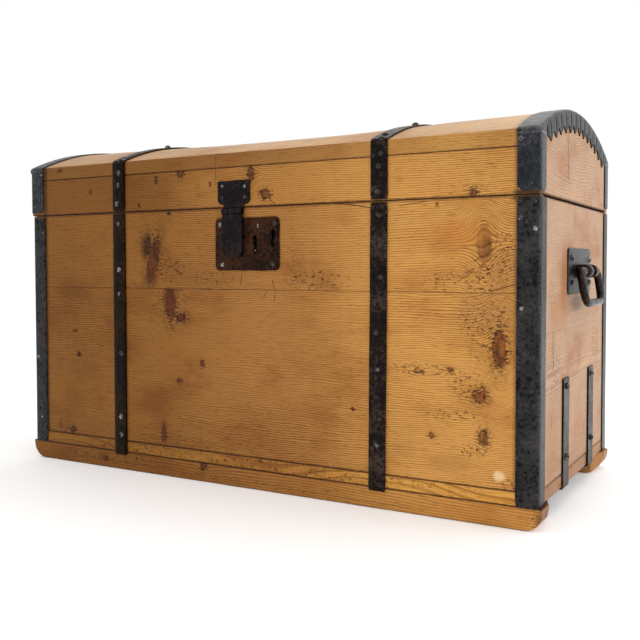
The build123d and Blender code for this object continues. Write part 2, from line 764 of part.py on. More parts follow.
def nail_lid_irons():
    for x_side, x_name in ((-1, "left"), (1, "right")):
        edge = lid_offset + x_side * lid_length / 2
        for y_side, y_name in ((-1, "front"), (1, "rear")):
            plate = f"lid_corner_{y_name}_{x_name}"
            rail = f"lid_{y_name}_rail"
            at = (edge - x_side * plate_nail_inset, y_side * (half_depth + iron), rail_top - plate_nail_drop)
            drive_nail("lid_nails", at, (0, y_side, 0), (plate, rail), head=small_head)


def nail_plates():
    face = -half_depth
    inset_x = lock_width / 2 - lock_nail_inset
    inset_z = lock_height / 2 - lock_nail_inset
    for dx in ends:
        for dz in ends:
            at = (lock_x + dx * inset_x, face - lock_iron, lock_z + dz * inset_z)
            drive_nail("plate_nails", at, (0, -1, 0), ("lock_plate", "front_board_upper"), head=small_head)
    plate_mid = lid_z + hasp_plate_lift + hasp_plate_height / 2
    for dx in ends:
        for dz in ends:
            across = hasp_plate_width / 2 - hasp_nail_inset
            at = (hasp_x + dx * across, face - hasp_iron, plate_mid + dz * hasp_nail_rise)
            drive_nail("lid_nails", at, (0, -1, 0), ("hasp_plate", "lid_front_rail"), head=small_head)
    for side, name in ((-1, "left"), (1, "right")):
        for dy in ends:
            for dz in ends:
                y = handle_y + dy * (handle_plate_width / 2 - handle_nail_inset)
                z = handle_z + dz * (handle_plate_height / 2 - handle_nail_drop)
                at = (side * (half_length + handle_iron), y, z)
                through = (f"handle_plate_{name}", end_board_at(name, z))
                drive_nail("plate_nails", at, (side, 0, 0), through, head=large_head)


def make_all():
    make_runners()
    make_case_boards()
    make_corner_irons()
    make_lid_frame()
    make_dome_planks()
    make_lid_corner_plates()
    make_dome_bands()
    make_straps()
    make_end_straps()
    make_hasp()
    make_lock()
    for side, name in ((-1, "left"), (1, "right")):
        make_handle(side, name)
    nail_case_irons()
    nail_straps()
    nail_end_straps()
    nail_lid_irons()
    nail_plates()


def write_parts():
    os.makedirs("parts", exist_ok=True)
    for name, pieces in solids.items():
        found = []
        for piece in pieces:
            shape = piece
            if name in cutters:
                shape = shape - cutters[name]
            found.extend(shape.solids())
        whole = found[0] if len(found) == 1 else Compound(found)
        export_step(whole, f"parts/{name}.step")


make_all()
write_parts()
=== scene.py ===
import functools
import math
import random

import bmesh
import bpy
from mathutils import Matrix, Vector, noise


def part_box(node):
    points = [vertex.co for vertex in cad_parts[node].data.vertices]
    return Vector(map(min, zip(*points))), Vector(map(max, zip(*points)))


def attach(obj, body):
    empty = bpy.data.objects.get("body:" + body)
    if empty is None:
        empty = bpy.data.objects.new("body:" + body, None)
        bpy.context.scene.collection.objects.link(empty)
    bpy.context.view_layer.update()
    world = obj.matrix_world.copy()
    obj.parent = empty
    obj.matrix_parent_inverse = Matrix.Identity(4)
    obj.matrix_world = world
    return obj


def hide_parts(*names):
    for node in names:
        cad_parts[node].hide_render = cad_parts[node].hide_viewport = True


# Dome top chest: waxed pine boards bound with blackened iron.
# Lengths are in millimetres in the chest's own frame: X to the right, front at -Y, Z up.

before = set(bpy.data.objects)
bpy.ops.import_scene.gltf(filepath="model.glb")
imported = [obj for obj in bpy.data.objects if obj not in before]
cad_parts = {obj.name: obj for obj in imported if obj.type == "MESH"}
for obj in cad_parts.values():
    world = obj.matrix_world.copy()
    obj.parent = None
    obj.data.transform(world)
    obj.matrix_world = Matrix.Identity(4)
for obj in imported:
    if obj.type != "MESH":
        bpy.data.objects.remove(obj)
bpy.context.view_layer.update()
rng = random.Random(41)
mm = 0.001

# sizes that several pieces share
chest = {
    "halfLength": 473.0, "halfDepth": 221.0, "bottom": 32.0, "seam": 451.0, "lid": 451.8,
    "lidLeft": -477.0, "lidRight": 473.0, "domeRadius": 479.15, "domeCentre": 113.36, "railTop": 515.8,
    "shoulder": 538.5, "strapPlaces": (-261.0, 240.0),
}
# how far the old dome has sunk below a true arc, at places from its left end to its right
sag = [(-480.0, 5.0), (-430.0, 6.0), (-261.0, 8.6), (-130.0, 12.0), (0.0, 12.8), (120.0, 12.4), (240.0, 9.2),
       (310.0, 6.4), (440.0, 4.6), (480.0, 3.6)]
ends = ((-1, "left"), (1, "right"))
fronts = ((-1, "front"), (1, "rear"))


def hill(x, y=0.0, z=0.0):
    return noise.noise(Vector((x, y, z)))


def span(node):
    low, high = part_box(node)
    return [v / mm for v in low], [v / mm for v in high]


def spread(start, end, count):
    return [start + (end - start) * n / count for n in range(count + 1)]


def operator(name, flipped=False):
    def act(self, other):
        return self.calc(name, other, self) if flipped else self.calc(name, self, other)
    return act


class Sock:
    # one output socket; sums on it add Math or Vector Math nodes
    def __init__(self, paint, out):
        self.paint = paint
        self.out = out

    def calc(self, operation, first, second):
        pair = (first, second)
        vector = any(isinstance(v, tuple) or isinstance(v, Sock) and v.out.type == "VECTOR" for v in pair)
        kind = "ShaderNodeVectorMath" if vector else "ShaderNodeMath"
        return self.paint.node(kind, {"operation": operation}, {0: first, 1: second})

    __add__, __radd__ = operator("ADD"), operator("ADD", True)
    __sub__, __rsub__ = operator("SUBTRACT"), operator("SUBTRACT", True)
    __mul__, __rmul__ = operator("MULTIPLY"), operator("MULTIPLY", True)
    __truediv__ = operator("DIVIDE")


class Paint:
    # one material and the nodes that colour it
    def __init__(self, name):
        self.material = bpy.data.materials.new(name)
        self.material.use_nodes = True
        self.tree = self.material.node_tree
        self.surface = self.tree.nodes["Principled BSDF"]

    def node(self, kind, settings=None, values=None, out=0):
        made = self.tree.nodes.new(kind)
        for key, value in (settings or {}).items():
            setattr(made, key, value)
        for key, value in (values or {}).items():
            self.plug(made.inputs[key], value)
        return Sock(self, made.outputs[out])

    def plug(self, socket, value):
        if isinstance(value, Sock):
            self.tree.links.new(value.out, socket)
        elif isinstance(value, tuple) and len(value) == 3 and socket.type == "RGBA":
            socket.default_value = (*value, 1.0)
        else:
            socket.default_value = value

    def set(self, **values):
        for key, value in values.items():
            self.plug(self.surface.inputs[key.replace("_", " ")], value)

    def place(self):
        # the point on the chest, in millimetres
        return self.node("ShaderNodeTexCoord", out=3) * (1000.0, 1000.0, 1000.0)

    def split(self, point):
        return [self.node("ShaderNodeSeparateXYZ", values={0: point}, out=n) for n in range(3)]

    def join(self, x, y, z):
        return self.node("ShaderNodeCombineXYZ", values={0: x, 1: y, 2: z})

    def fleck(self, point, scale, detail=2.0, rough=0.5, twist=0.0):
        values = {"Vector": point, "Scale": scale, "Detail": detail, "Roughness": rough, "Distortion": twist}
        return self.node("ShaderNodeTexNoise", values=values)

    def ease(self, value, low, high, start=0.0, end=1.0):
        settings = {"interpolation_type": "SMOOTHSTEP"}
        return self.node("ShaderNodeMapRange", settings, {0: value, 1: low, 2: high, 3: start, 4: end})

    def blend(self, factor, first, second, mode="MIX"):
        settings = {"data_type": "RGBA", "blend_type": mode}
        return self.node("ShaderNodeMix", settings, {0: factor, 6: first, 7: second}, out=2)

    def tint(self, colour, tone):
        return self.blend(1.0, colour, tone, "MULTIPLY")

    def math(self, operation, *values):
        return self.node("ShaderNodeMath", {"operation": operation}, dict(enumerate(values)))

    def size(self, value):
        return self.math("ABSOLUTE", value)

    def length(self, first, second):
        return self.math("SQRT", first * first + second * second)

    def most(self, masks):
        return functools.reduce(lambda first, second: self.math("MAXIMUM", first, second), masks)

    def bump(self, height, strength, distance):
        values = {"Strength": strength, "Distance": distance, "Height": height}
        self.set(Normal=self.node("ShaderNodeBump", values=values))


# the dark dirt tone also serves as painted shade in joints and the seam gap, and the near-black covered tone is
# painted shade under the dome band's flange
pineLook = {
    "light": (0.70, 0.35, 0.088), "dark": (0.225, 0.070, 0.009), "warm": (0.30, 0.095, 0.012),
    "pale": (0.62, 0.32, 0.085), "tear": (0.105, 0.032, 0.006), "dirtAndShade": (0.060, 0.022, 0.008),
    "knotCore": (0.075, 0.020, 0.006), "knotRed": (0.24, 0.075, 0.014), "knotRim": (0.038, 0.012, 0.004),
    "crack": (0.030, 0.012, 0.006), "shadeUnderBand": (0.008, 0.006, 0.005),
    "torn": 0.8, "ring": 3.2, "pithBehind": 60.0, "pithAcross": 20.0, "wander": 14.0, "contrast": 0.95,
    "rough": 0.46, "specular": 0.12, "bump": 0.5, "relief": 0.0008,
}
# noises of the wood: scale along, across and into the board, then detail, roughness and distortion
pineNoise = {
    "slow": (0.0021, 0.006, 0.004, 2.0), "fine": (0.011, 0.06, 0.03, 3.0),
    "streak": (0.012, 0.9, 0.9, 3.0, 0.6), "patch": (0.009, 0.016, 0.012, 3.0, 0.55),
    "cloud": (0.0032, 0.006, 0.004, 2.0),
    "dash": (0.05, 0.95, 0.95, 2.0, 0.6), "grime": (0.16, 0.30, 0.2, 3.0, 0.75, 0.6),
    "rings": (0.09, 0.12, 0.1, 2.0, 0.6),
}
knotLook = {"pull": 0.22, "bend": 0.82, "core": (1.05, 0.80), "halo": (2.5, 1.0), "rim": (0.26, 0.06)}


def pine(name, along, across, behind, face, knots=(), cracks=(), specks=(), stains=(), edges=(), **changes):
    # along, across and behind say which axis runs with the grain, over the board and into it
    look = {**pineLook, **changes}
    paint = Paint(name)
    axes = paint.split(paint.place())
    u, v, w = axes[along], axes[across], axes[behind]
    bent = v
    cores, halos, rims = [], [], []

    def flecks(key, crosswise, shift=0.0):
        scaleU, scaleV, scaleW, *more = pineNoise[key]
        into = w * scaleW + shift if shift else w * scaleW
        return paint.fleck(paint.join(u * scaleU, crosswise * scaleV, into), 1.0, *more)

    def away(x, z, rx, rz):
        du, dv = (u - x) / rx, (v - z) / rz
        return du * du + dv * dv

    def addKnot(x, z, rx, rz, depth=0.85, halo=0.55, lean=0.0, rim=0.9):
        # a knot pushes the grain aside
        nonlocal bent
        dv = (v - z) / rz
        du = (u - x) / rx - dv * (lean * rz / rx)
        wobble = hill(x * 0.37, z * 0.21) * 0.6
        gap = paint.math("SQRT", du * du + dv * dv + du * dv * wobble)
        bent = bent + (z - bent) * paint.math("EXPONENT", gap * gap * -knotLook["pull"]) * knotLook["bend"]
        cores.append(paint.ease(gap, *knotLook["core"], 0.0, depth))
        halos.append(paint.ease(gap, *knotLook["halo"], 0.0, halo))
        rims.append(paint.ease(paint.size(gap - 1.0), *knotLook["rim"], 0.0, rim))

    def hairline(x0, z0, x1, z1, width=0.8, depth=0.85, wave=6.0):
        # a crack between two points
        length = math.hypot(x1 - x0, z1 - z0)
        cu, cv = (x1 - x0) / length, (z1 - z0) / length
        run = (u - x0) * cu + (v - z0) * cv
        side = (v - z0) * cu - (u - x0) * cv + (fine - 0.5) * wave
        line = paint.ease(paint.size(side), width, width * 0.25)
        return line * paint.ease(run, 0.0, length * 0.12) * paint.ease(run, length, length * 0.85) * depth

    for row in knots:
        addKnot(*row)

    # rings round a pith that wanders, wide ones with finer ones between
    slow = flecks("slow", v, look["pithAcross"])
    fine = flecks("fine", bent)
    offset = bent - look["pithAcross"] + (slow - 0.5) * look["wander"] * 3.0 + (fine - 0.5) * 5.0
    radius = paint.length(offset, w - face + look["pithBehind"])
    ring = paint.math("FRACT", radius / look["ring"] + (fine - 0.5) * 0.8)
    late = paint.ease(ring, 0.42, 0.84) * paint.ease(ring, 1.0, 0.93)
    second = paint.math("FRACT", radius / (look["ring"] * 0.41))
    thin = paint.ease(second, 0.3, 0.9) * paint.ease(second, 1.0, 0.9)
    streak = flecks("streak", bent)
    patch = flecks("patch", v)
    fade = paint.ease(flecks("cloud", v), 0.35, 0.7, 0.6, 1.0)
    amount = (late * 0.75 + thin * 0.35 + (streak - 0.45) * 1.1) * look["contrast"] * fade
    colour = paint.blend(amount, look["light"], look["dark"])
    colour = paint.blend(paint.ease(patch, 0.45, 0.75, 0.0, 0.55), colour, look["warm"])
    colour = paint.blend(paint.ease(patch, 0.5, 0.2, 0.0, 0.25), colour, look["pale"])

    # short dark tears along the grain
    torn = paint.ease(flecks("dash", bent), 0.58, 0.68, 0.0, look["torn"]) * fade
    colour = paint.blend(torn, colour, look["tear"])

    grime = flecks("grime", v)
    speck = paint.ease(grime, 0.53, 0.62)
    if knots:
        rings = flecks("rings", bent)
        halo = paint.most(halos) * paint.ease(grime, 0.44, 0.58)
        colour = paint.blend(halo, colour, look["knotRim"])
        redness = paint.ease(rings + (grime - 0.5) * 0.5, 0.42, 0.56)
        colour = paint.blend(paint.most(cores), colour, paint.blend(redness, look["knotCore"], look["knotRed"]))
        rim = paint.most(rims) * paint.ease(grime + rings * 0.4, 0.58, 0.74)
        colour = paint.blend(rim, colour, look["knotRim"])
    for *where, depth in specks:
        colour = paint.blend(paint.ease(away(*where), 1.0, 0.1, 0.0, depth) * speck, colour, look["dirtAndShade"])
    for *where, depth, tone in stains:
        ragged = away(*where) + (patch - 0.5) * 1.4 + (grime - 0.5) * 2.0
        colour = paint.blend(paint.ease(ragged, 1.1, 0.0, 0.0, depth), colour, tone)
    height = late * -0.35 + streak * 0.35 + grime * 0.15
    if cracks:
        split = paint.most([hairline(*row) for row in cracks])
        colour = paint.blend(split, colour, look["crack"])
        height = height - split * 1.2

    # darker bands along joints, the seam and beside the irons, partly dirt and partly painted shade in the
    # joints and the seam gap, on the dome only on its outside
    outside = 1.0
    if "shell" in look:
        outside = paint.ease(paint.length(v, w - chest["domeCentre"]), look["shell"] - 3.0, look["shell"])
    for axis, at, reach, depth in edges:
        off = paint.size({"u": u, "v": v, "w": w}[axis] - at) + (grime - 0.5) * reach * 1.2
        colour = paint.blend(paint.ease(off, reach, 0.0, 0.0, depth) * outside, colour, look["dirtAndShade"])
    # painted shade: the front is darker towards the left, away from the light
    for start, end, tone in look.get("fall", ()):
        colour = paint.blend(paint.ease(u, end, start), colour, paint.tint(colour, tone))
    if "covered" in look:
        # painted shade on the wood under the snipped flange of the dome band, seen through its slits
        radius, sunk = look["covered"]
        rise = v + (1.0 - u * u / chest["halfDepth"] ** 2) * sunk - chest["domeCentre"]
        colour = paint.blend(paint.ease(paint.length(u, rise), radius, radius + 2.5), colour, look["shadeUnderBand"])
    paint.set(Base_Color=colour, Roughness=look["rough"] + (streak - 0.5) * 0.3 + late * -0.05,
              Specular_IOR_Level=look["specular"])
    paint.bump(height, look["bump"], look["relief"])
    return paint.material


# Where the photo's boards carry marks. Knots: x, z, half width, half height, depth, halo, lean, rim.
# Cracks: from x, z to x, z, width, depth, wave. Specks and stains: x, z, half sizes, depth, tone.
# Edges: axis, place, reach, depth, for dark bands that are partly dirt and partly painted shade. Shade falls:
# from x to x, tint, for painted shade across a board.
onFront = (0, 2, 1, -221.0)
onEnd = (1, 2, 0, 473.0)
# painted shade that darkens the front boards, the lid rail and the dome towards the left
leftShadeFall = [(60.0, 320.0, (0.62, 0.555, 0.54)), (-230.0, 60.0, (0.70, 0.65, 0.46)),
            (-430.0, -200.0, (0.90, 0.90, 0.82))]
railShadeFall = [(60.0, 320.0, (0.72, 0.66, 0.60)), (-260.0, 40.0, (0.46, 0.39, 0.24))]
# dark bands beside the corner irons and straps, partly dirt and partly painted shade
frontEdges = [("u", -443.0, 9.0, 0.7), ("u", 443.0, 7.0, 0.5), ("u", -261.0, 19.0, 0.6),
              ("u", 240.0, 17.0, 0.5)]
rust = (0.23, 0.060, 0.012)

pineFrontUpper = pine(
    "pine front upper", *onFront,
    knots=[(-186, 368, 11, 36, 0.85, 0.6, 0.28, 0.7), (-199, 393, 6, 15, 0.85, 0.9, 0.2),
           (398, 387, 10.5, 27, 0.7, 0.25, 0.0, 0.3), (-151, 446, 3.5, 2.6, 0.95, 0.6),
           (329, 443, 2.2, 2.2, 0.95, 0.3)],
    cracks=[(-4, 350, -4.5, 324, 0.7), (54, 338, 60, 320, 0.9), (138, 455, 262, 437, 1.0, 0.9, 4.0),
            (268, 443, 320, 448, 0.8), (404, 321, 444, 334, 1.0)],
    specks=[(-150, 352, 40, 30, 1.0), (-196, 400, 34, 40, 0.9), (130, 336, 80, 20, 1.0),
            (352, 334, 54, 22, 0.9), (428, 376, 26, 40, 0.9), (404, 345, 46, 42, 0.9),
            (-60, 338, 70, 18, 0.7), (92, 372, 30, 40, 0.5)],
    # the near-black stain by the seam at the right is painted shade of the wide seam gap there
    stains=[(-202, 392, 15, 26, 0.65, (0.085, 0.034, 0.010)), (458, 447, 26, 7, 0.9, (0.02, 0.012, 0.008)),
            (360, 402, 60, 22, 0.5, (0.50, 0.17, 0.03)), (-188, 345, 16, 26, 0.5, rust),
            (430, 350, 34, 40, 0.35, (0.30, 0.12, 0.04))],
    edges=frontEdges + [("v", 451.0, 5.0, 0.65), ("v", 320.0, 1.6, 0.4)],
    pithAcross=590.0, pithBehind=40.0, fall=leftShadeFall)

pineFrontLower = pine(
    "pine front lower", *onFront,
    knots=[(-149, 298, 10, 28, 0.85, 0.8, 0.05, 0.8), (-127, 272, 11, 6, 0.95, 0.95),
           (420, 244, 9, 26, 0.9, 0.6), (393, 177, 9, 8, 0.95, 0.9), (350, 212, 4, 3.5, 0.8, 0.6),
           (300, 209, 6, 4, 0.5, 0.6), (-361.6, 199.6, 4, 5, 0.9, 0.5), (-373, 241, 5, 2.5, 0.6, 0.3),
           (-83, 197, 4, 6, 0.9, 0.6), (-131, 165.5, 5, 4, 0.8, 0.6), (-165, 72.7, 4, 12, 0.9, 0.8),
           (196.6, 144, 2.6, 3.2, 0.9, 0.3), (398, 120, 6.5, 11, 0.8, 0.8), (322, 117, 4, 4, 0.6, 0.8),
           (-379, 60, 5, 6, 0.85, 0.6)],
    cracks=[(45, 319, 37, 306, 0.8), (-411.8, 78.7, -407.5, 56, 1.2), (60, 319, 58, 300, 0.8),
            (20, 256, 60, 290, 1.2, 0.25), (120, 250, 170, 262, 1.6, 0.2), (-150, 100, 60, 96, 0.6, 0.35)],
    specks=[(-150, 290, 50, 46, 0.9), (310, 210, 66, 12, 1.0), (400, 285, 55, 44, 0.9),
            (375, 190, 36, 26, 0.9), (410, 246, 44, 50, 0.7), (-380, 310, 60, 16, 0.5),
            (-130, 60, 120, 18, 0.5), (-400, 60, 60, 20, 0.6), (380, 100, 26, 14, 1.0),
            (434, 60, 14, 12, 1.0), (360, 148, 60, 12, 0.8)],
    stains=[(-150, 300, 15, 28, 0.5, rust), (420, 70, 9, 8, 0.95, (0.80, 0.55, 0.30)),
            (350, 80, 40, 14, 0.35, (0.34, 0.15, 0.04)), (275, 90, 26, 14, 0.3, (0.34, 0.15, 0.04)),
            (-118, 77, 14, 8, 0.4, (0.50, 0.30, 0.13)), (410, 300, 60, 40, 0.3, (0.30, 0.12, 0.04))],
    edges=frontEdges + [("v", 320.0, 1.6, 0.4), ("v", 52.0, 3.2, 0.9)],
    pithAcross=-60.0, pithBehind=40.0, fall=leftShadeFall)

pineRail = pine(
    "pine lid rail", *onFront,
    knots=[(42, 470.5, 8, 7, 0.85, 0.8), (-126, 512, 6, 7, 0.8, 0.7), (-178, 504, 3.5, 6, 0.6, 0.5),
           (-65, 491.5, 2.0, 3.4, 0.9, 0.3), (-217, 462, 2.5, 3.0, 0.9, 0.3), (15, 503, 6, 11, 0.75, 0.5),
           (382, 457, 5, 5, 0.85, 0.6), (-330, 490, 3, 4, 0.5, 0.4)],
    cracks=[(-54, 524, -55, 484, 0.6), (48, 462, 62, 452, 0.8)],
    specks=[(42, 470, 32, 14, 0.7), (-126, 508, 24, 12, 0.7), (375, 460, 36, 12, 0.6)],
    # the near-black stain above the seam at the right is painted shade of the seam gap
    stains=[(460, 455, 26, 5, 0.9, (0.02, 0.012, 0.008))],
    edges=frontEdges + [("v", 452.0, 3.0, 0.85), ("v", 515.8, 2.0, 0.7)],
    pithAcross=640.0, pithBehind=45.0, fall=railShadeFall)

pineDome = pine(
    "pine dome", 0, 1, 2, 560.0, light=(0.60, 0.36, 0.17), dark=(0.40, 0.19, 0.065),
    pithAcross=-100.0, contrast=0.5,
    specks=[(-100, -160, 200, 40, 0.4), (300, -120, 160, 60, 0.4)],
    edges=[("u", -446.0, 9.0, 0.5), ("u", 442.0, 9.0, 0.45), ("u", -261.0, 18.0, 0.45),
           ("u", 240.0, 18.0, 0.45)],
    fall=[(-330.0, 40.0, (0.78, 0.74, 0.72))], shell=464.0)

pineDomeEdge = pine(
    "pine dome front", *onFront, light=(0.52, 0.262, 0.068), dark=(0.28, 0.12, 0.025), pithAcross=627.0,
    knots=[(-405, 532, 5, 3, 0.8, 0.4)], cracks=[(-54, 540, -55, 516, 0.6)],
    edges=frontEdges + [("v", 515.8, 2.5, 0.8)], fall=leftShadeFall, contrast=0.5)

endEdges = [("u", -192.0, 7.0, 0.5), ("u", 192.0, 7.0, 0.5)]
endTone = {"light": (0.485, 0.315, 0.205), "dark": (0.235, 0.115, 0.060), "rough": 0.6}

pineEnd = pine(
    "pine end", *onEnd, **endTone,
    cracks=[(-20, 451, -22, 386, 0.9, 0.9, 3.0), (25, 440, 27, 404, 0.7, 0.5),
            (-148, 268, -143, 205, 2.6, 0.6, 8.0), (-150, 150, -153, 128, 2.2, 0.5, 8.0),
            (152, 262, 147, 220, 1.8, 0.6, 8.0)],
    specks=[(-80, 330, 60, 60, 0.5), (60, 300, 50, 40, 0.4), (-150, 300, 30, 70, 0.6),
            (-140, 210, 40, 60, 0.7), (130, 220, 40, 50, 0.6), (0, 90, 180, 30, 0.4), (20, 210, 16, 12, 0.8)],
    stains=[(-86, 338, 24, 60, 0.7, (0.30, 0.110, 0.026)), (-110, 290, 60, 34, 0.5, (0.36, 0.150, 0.04)),
            (-10, 300, 44, 14, 0.75, (0.15, 0.11, 0.085)), (-150, 120, 40, 60, 0.3, (0.36, 0.15, 0.05)),
            (20, 100, 60, 50, 0.3, (0.36, 0.15, 0.05))],
    edges=endEdges + [("v", 451.0, 5.0, 0.8), ("v", 52.0, 5.0, 0.6)],
    pithAcross=200.0, pithBehind=30.0, ring=2.9, wander=12.0, contrast=0.6, torn=0.3)

pineLidEnd = pine(
    "pine lid end", *onEnd, **endTone,
    cracks=[(-68, 560, -64, 476, 1.3, 0.9, 4.0), (-60, 520, -66, 470, 0.9, 0.7, 5.0),
            (150, 500, 190, 488, 1.2, 0.35, 5.0)],
    specks=[(-66, 520, 26, 60, 0.6), (130, 500, 60, 40, 0.3)],
    edges=[("v", 453.0, 4.0, 0.8), ("u", -194.0, 6.0, 0.5), ("u", 194.0, 6.0, 0.5)],
    pithAcross=400.0, pithBehind=60.0, ring=3.6, wander=24.0, contrast=0.65, torn=0.3, covered=(459.5, 3.6))

pineRunner = pine(
    "pine runner", *onFront, light=(0.60, 0.285, 0.064), dark=(0.27, 0.10, 0.018), pithAcross=90.0, torn=0.8,
    knots=[(-82, 30, 6, 8, 0.9, 0.8), (-300, 16, 5, 4, 0.7, 0.6)],
    cracks=[(-380, 12, -120, 14, 0.7, 0.5), (40, 10, 330, 8, 0.7, 0.5), (-200, 22, 60, 20, 0.6, 0.4)],
    specks=[(-300, 20, 160, 14, 0.7), (0, 10, 200, 8, 0.5), (470, 12, 16, 18, 0.9)],
    stains=[(482, 12, 14, 26, 0.85, (0.13, 0.06, 0.03))],
    edges=[("v", 32.0, 2.6, 0.95), ("v", 0.0, 3.0, 0.7)],
    fall=leftShadeFall)

pineBottom = pine(
    "pine bottom", 0, 1, 2, 42.0, light=(0.70, 0.35, 0.072), dark=(0.33, 0.135, 0.02), pithAcross=60.0,
    specks=[(0, -221, 460, 26, 0.7)],
    stains=[(side * 477.0, 0, 6, 2000, 1.0, (0.25, 0.125, 0.075)) for side in (-1, 1)],
    edges=[("w", 52.0, 2.0, 0.95), ("w", 32.0, 2.4, 0.95), ("v", -73.7, 3.0, 0.8), ("v", 73.6, 3.0, 0.8)],
    fall=leftShadeFall)

pineRear = pine(
    "pine rear", 0, 2, 1, 221.0, light=(0.44, 0.215, 0.075), dark=(0.25, 0.10, 0.025), pithAcross=210.0,
    knots=[(-310, 380, 9, 14, 0.8, 0.6), (60, 240, 12, 9, 0.8, 0.6), (330, 150, 8, 12, 0.8, 0.6),
           (-90, 120, 7, 7, 0.8, 0.6)],
    edges=[("v", 451.0, 5.0, 0.6), ("v", 320.0, 2.0, 0.7)])


# cut is painted shade at the band slits and line painted shade in folds and grooves; ends lightens or darkens
# the faces that look left and right as painted light and shade, and the bright fold tone is a painted highlight
ironLook = {
    "dark": (0.011, 0.009, 0.008), "light": (0.095, 0.088, 0.082), "rust": (0.050, 0.020, 0.009),
    "pit": (0.006, 0.005, 0.005), "cut": (0.003, 0.003, 0.003), "line": (0.010, 0.010, 0.010),
    "rubbed": (0.30, 0.30, 0.31), "rusty": 0.45, "worn": 0.6, "pitted": 1.0, "rough": 0.38, "metal": 0.88,
    "specular": 0.2, "ends": 1.0, "bump": 0.8, "relief": 0.0016,
}


def iron(name, slot="strap_iron", **changes):
    look = {**ironLook, **changes}
    paint = Paint(name)
    point = paint.place()
    x, y, z = paint.split(point)
    broad = paint.fleck(point, 0.022, 4.0, 0.6)
    pits = paint.fleck(point, 0.19, 4.0, 0.65, 0.4)
    grain = paint.fleck(point, 0.75, 2.0, 0.6)
    worn = paint.ease(broad * 0.5 + pits * 0.5 + (grain - 0.5) * 0.3, 0.50, 0.64, 0.0, look["worn"])
    colour = paint.blend(worn, look["dark"], look["light"])
    rusty = paint.ease(pits + (broad - 0.5) * 0.8, 0.47, 0.66, 0.0, look["rusty"])
    colour = paint.blend(rusty, colour, look["rust"])
    deep = paint.ease(pits + (broad - 0.5) * 0.5, 0.47, 0.38)
    colour = paint.blend(deep * 0.7 * look["pitted"], colour, look["pit"])
    if "slits" in look:
        # painted shade: dark bands at the cuts between the teeth of the dome bands, one for each step of turn,
        # for the shaded side of each pleat
        centre, step, outer = look["slits"]
        turn = paint.math("ARCTAN2", y, z - centre) / step
        part = paint.size(paint.math("FRACT", turn + 100.5) - 0.55)
        cut = paint.ease(part, 0.15, 0.08) * paint.ease(paint.length(y, z - centre), outer + 1.0, outer - 2.0)
        colour = paint.blend(cut, colour, look["cut"])
        # painted shade in the folds hammered into the flat of the band near its front
        crumple = paint.fleck(paint.join(x * 0.018, turn * 1.6, 0.0), 1.0, 2.0, 0.6)
        fold = paint.ease(paint.size(crumple - 0.5), 0.05, 0.015) * paint.ease(y, -110.0, -160.0)
        colour = paint.blend(fold * 0.8, colour, look["line"])
    if look["ends"] != 1.0:
        # painted light and shade: brighter or duller on the faces that look to the left and right
        facing = paint.size(paint.split(paint.node("ShaderNodeNewGeometry", out=1))[0])
        sideLit = paint.tint(colour, (look["ends"],) * 3)
        colour = paint.blend(paint.ease(facing, 0.5, 0.9), colour, sideLit)
    for at, half, dark in look.get("grooves", ()):
        # painted shade: dark lines along the side flange, at the bend and beside the wood
        line = paint.ease(paint.size(paint.size(y) - at), half, half * 0.4, 0.0, dark)
        colour = paint.blend(line * paint.ease(paint.size(x), 472.5, 474.0), colour, look["line"])
    if "fold" in look:
        # painted highlight: a bright line along the fold at the top of the lid plates
        rubbed = paint.ease(paint.size(z - look["fold"]), 1.6, 0.5) * 0.7
        colour = paint.blend(rubbed, colour, look["rubbed"])
    roughness = look["rough"] + (broad - 0.5) * 0.35 + rusty * 0.3 + (grain - 0.5) * 0.15
    paint.set(Base_Color=colour, Metallic=look["metal"], Roughness=roughness,
              Specular_IOR_Level=look["specular"])
    paint.bump(pits * look["pitted"] + broad * 0.8 + grain * 0.12, look["bump"], look["relief"])
    return paint.material


bandLook = {"width": 30.0, "thick": 2.0, "teeth": 13, "valley": 20.5, "tip": 33.0, "slitStart": 4.0,
            "slit": 1.5, "pleat": 1.1, "bend": 2.2, "tab": 8.0, "reach": 194.7, "crease": 0.8, "depths": 5,
            "stations": 8}
bandPitch = 2 * math.asin(bandLook["reach"] / (chest["domeRadius"] + 2.0)) / bandLook["teeth"]
# painted shade lines on the side flanges of the corner irons and lid plates: distance from the middle, half
# width, depth
grooves = [(216.5, 2.2, 0.85), (192.6, 2.4, 0.85)]
strapIron = iron("blackened strap iron", dark=(0.013, 0.009, 0.008), light=(0.125, 0.105, 0.090),
                 rust=(0.050, 0.026, 0.016), rusty=0.5, ends=1.1)
leftStrapIron = iron("browned strap iron", dark=(0.006, 0.003, 0.001), light=(0.080, 0.052, 0.030),
                     rust=(0.024, 0.008, 0.002), rusty=0.6)
cornerIron = iron("pitted corner iron", dark=(0.026, 0.026, 0.027), light=(0.105, 0.102, 0.100),
                  worn=0.36, rusty=0.1, pitted=1.2, ends=1.35, grooves=grooves)
lidPlateIron = iron("blued plate iron", dark=(0.026, 0.029, 0.036), light=(0.13, 0.135, 0.15), worn=0.4,
                    rusty=0.08, rough=0.34, pitted=0.6, fold=533.5, ends=1.3, grooves=grooves)
bandIron = iron("grey band iron", dark=(0.042, 0.044, 0.047), light=(0.13, 0.13, 0.13), worn=0.8, rusty=0.08,
                rough=0.40, slits=(chest["domeCentre"] - 3.0, bandPitch, 476.5))
haspIron = iron("dark hasp iron", dark=(0.010, 0.008, 0.009), light=(0.050, 0.040, 0.042),
                rust=(0.026, 0.011, 0.008), pitted=0.5, rough=0.34)
lockIron = iron("rusty lock iron", "rusty_iron", dark=(0.024, 0.010, 0.005), light=(0.12, 0.056, 0.032),
                rust=(0.066, 0.022, 0.009), rusty=0.65, rough=0.5, pitted=1.2)
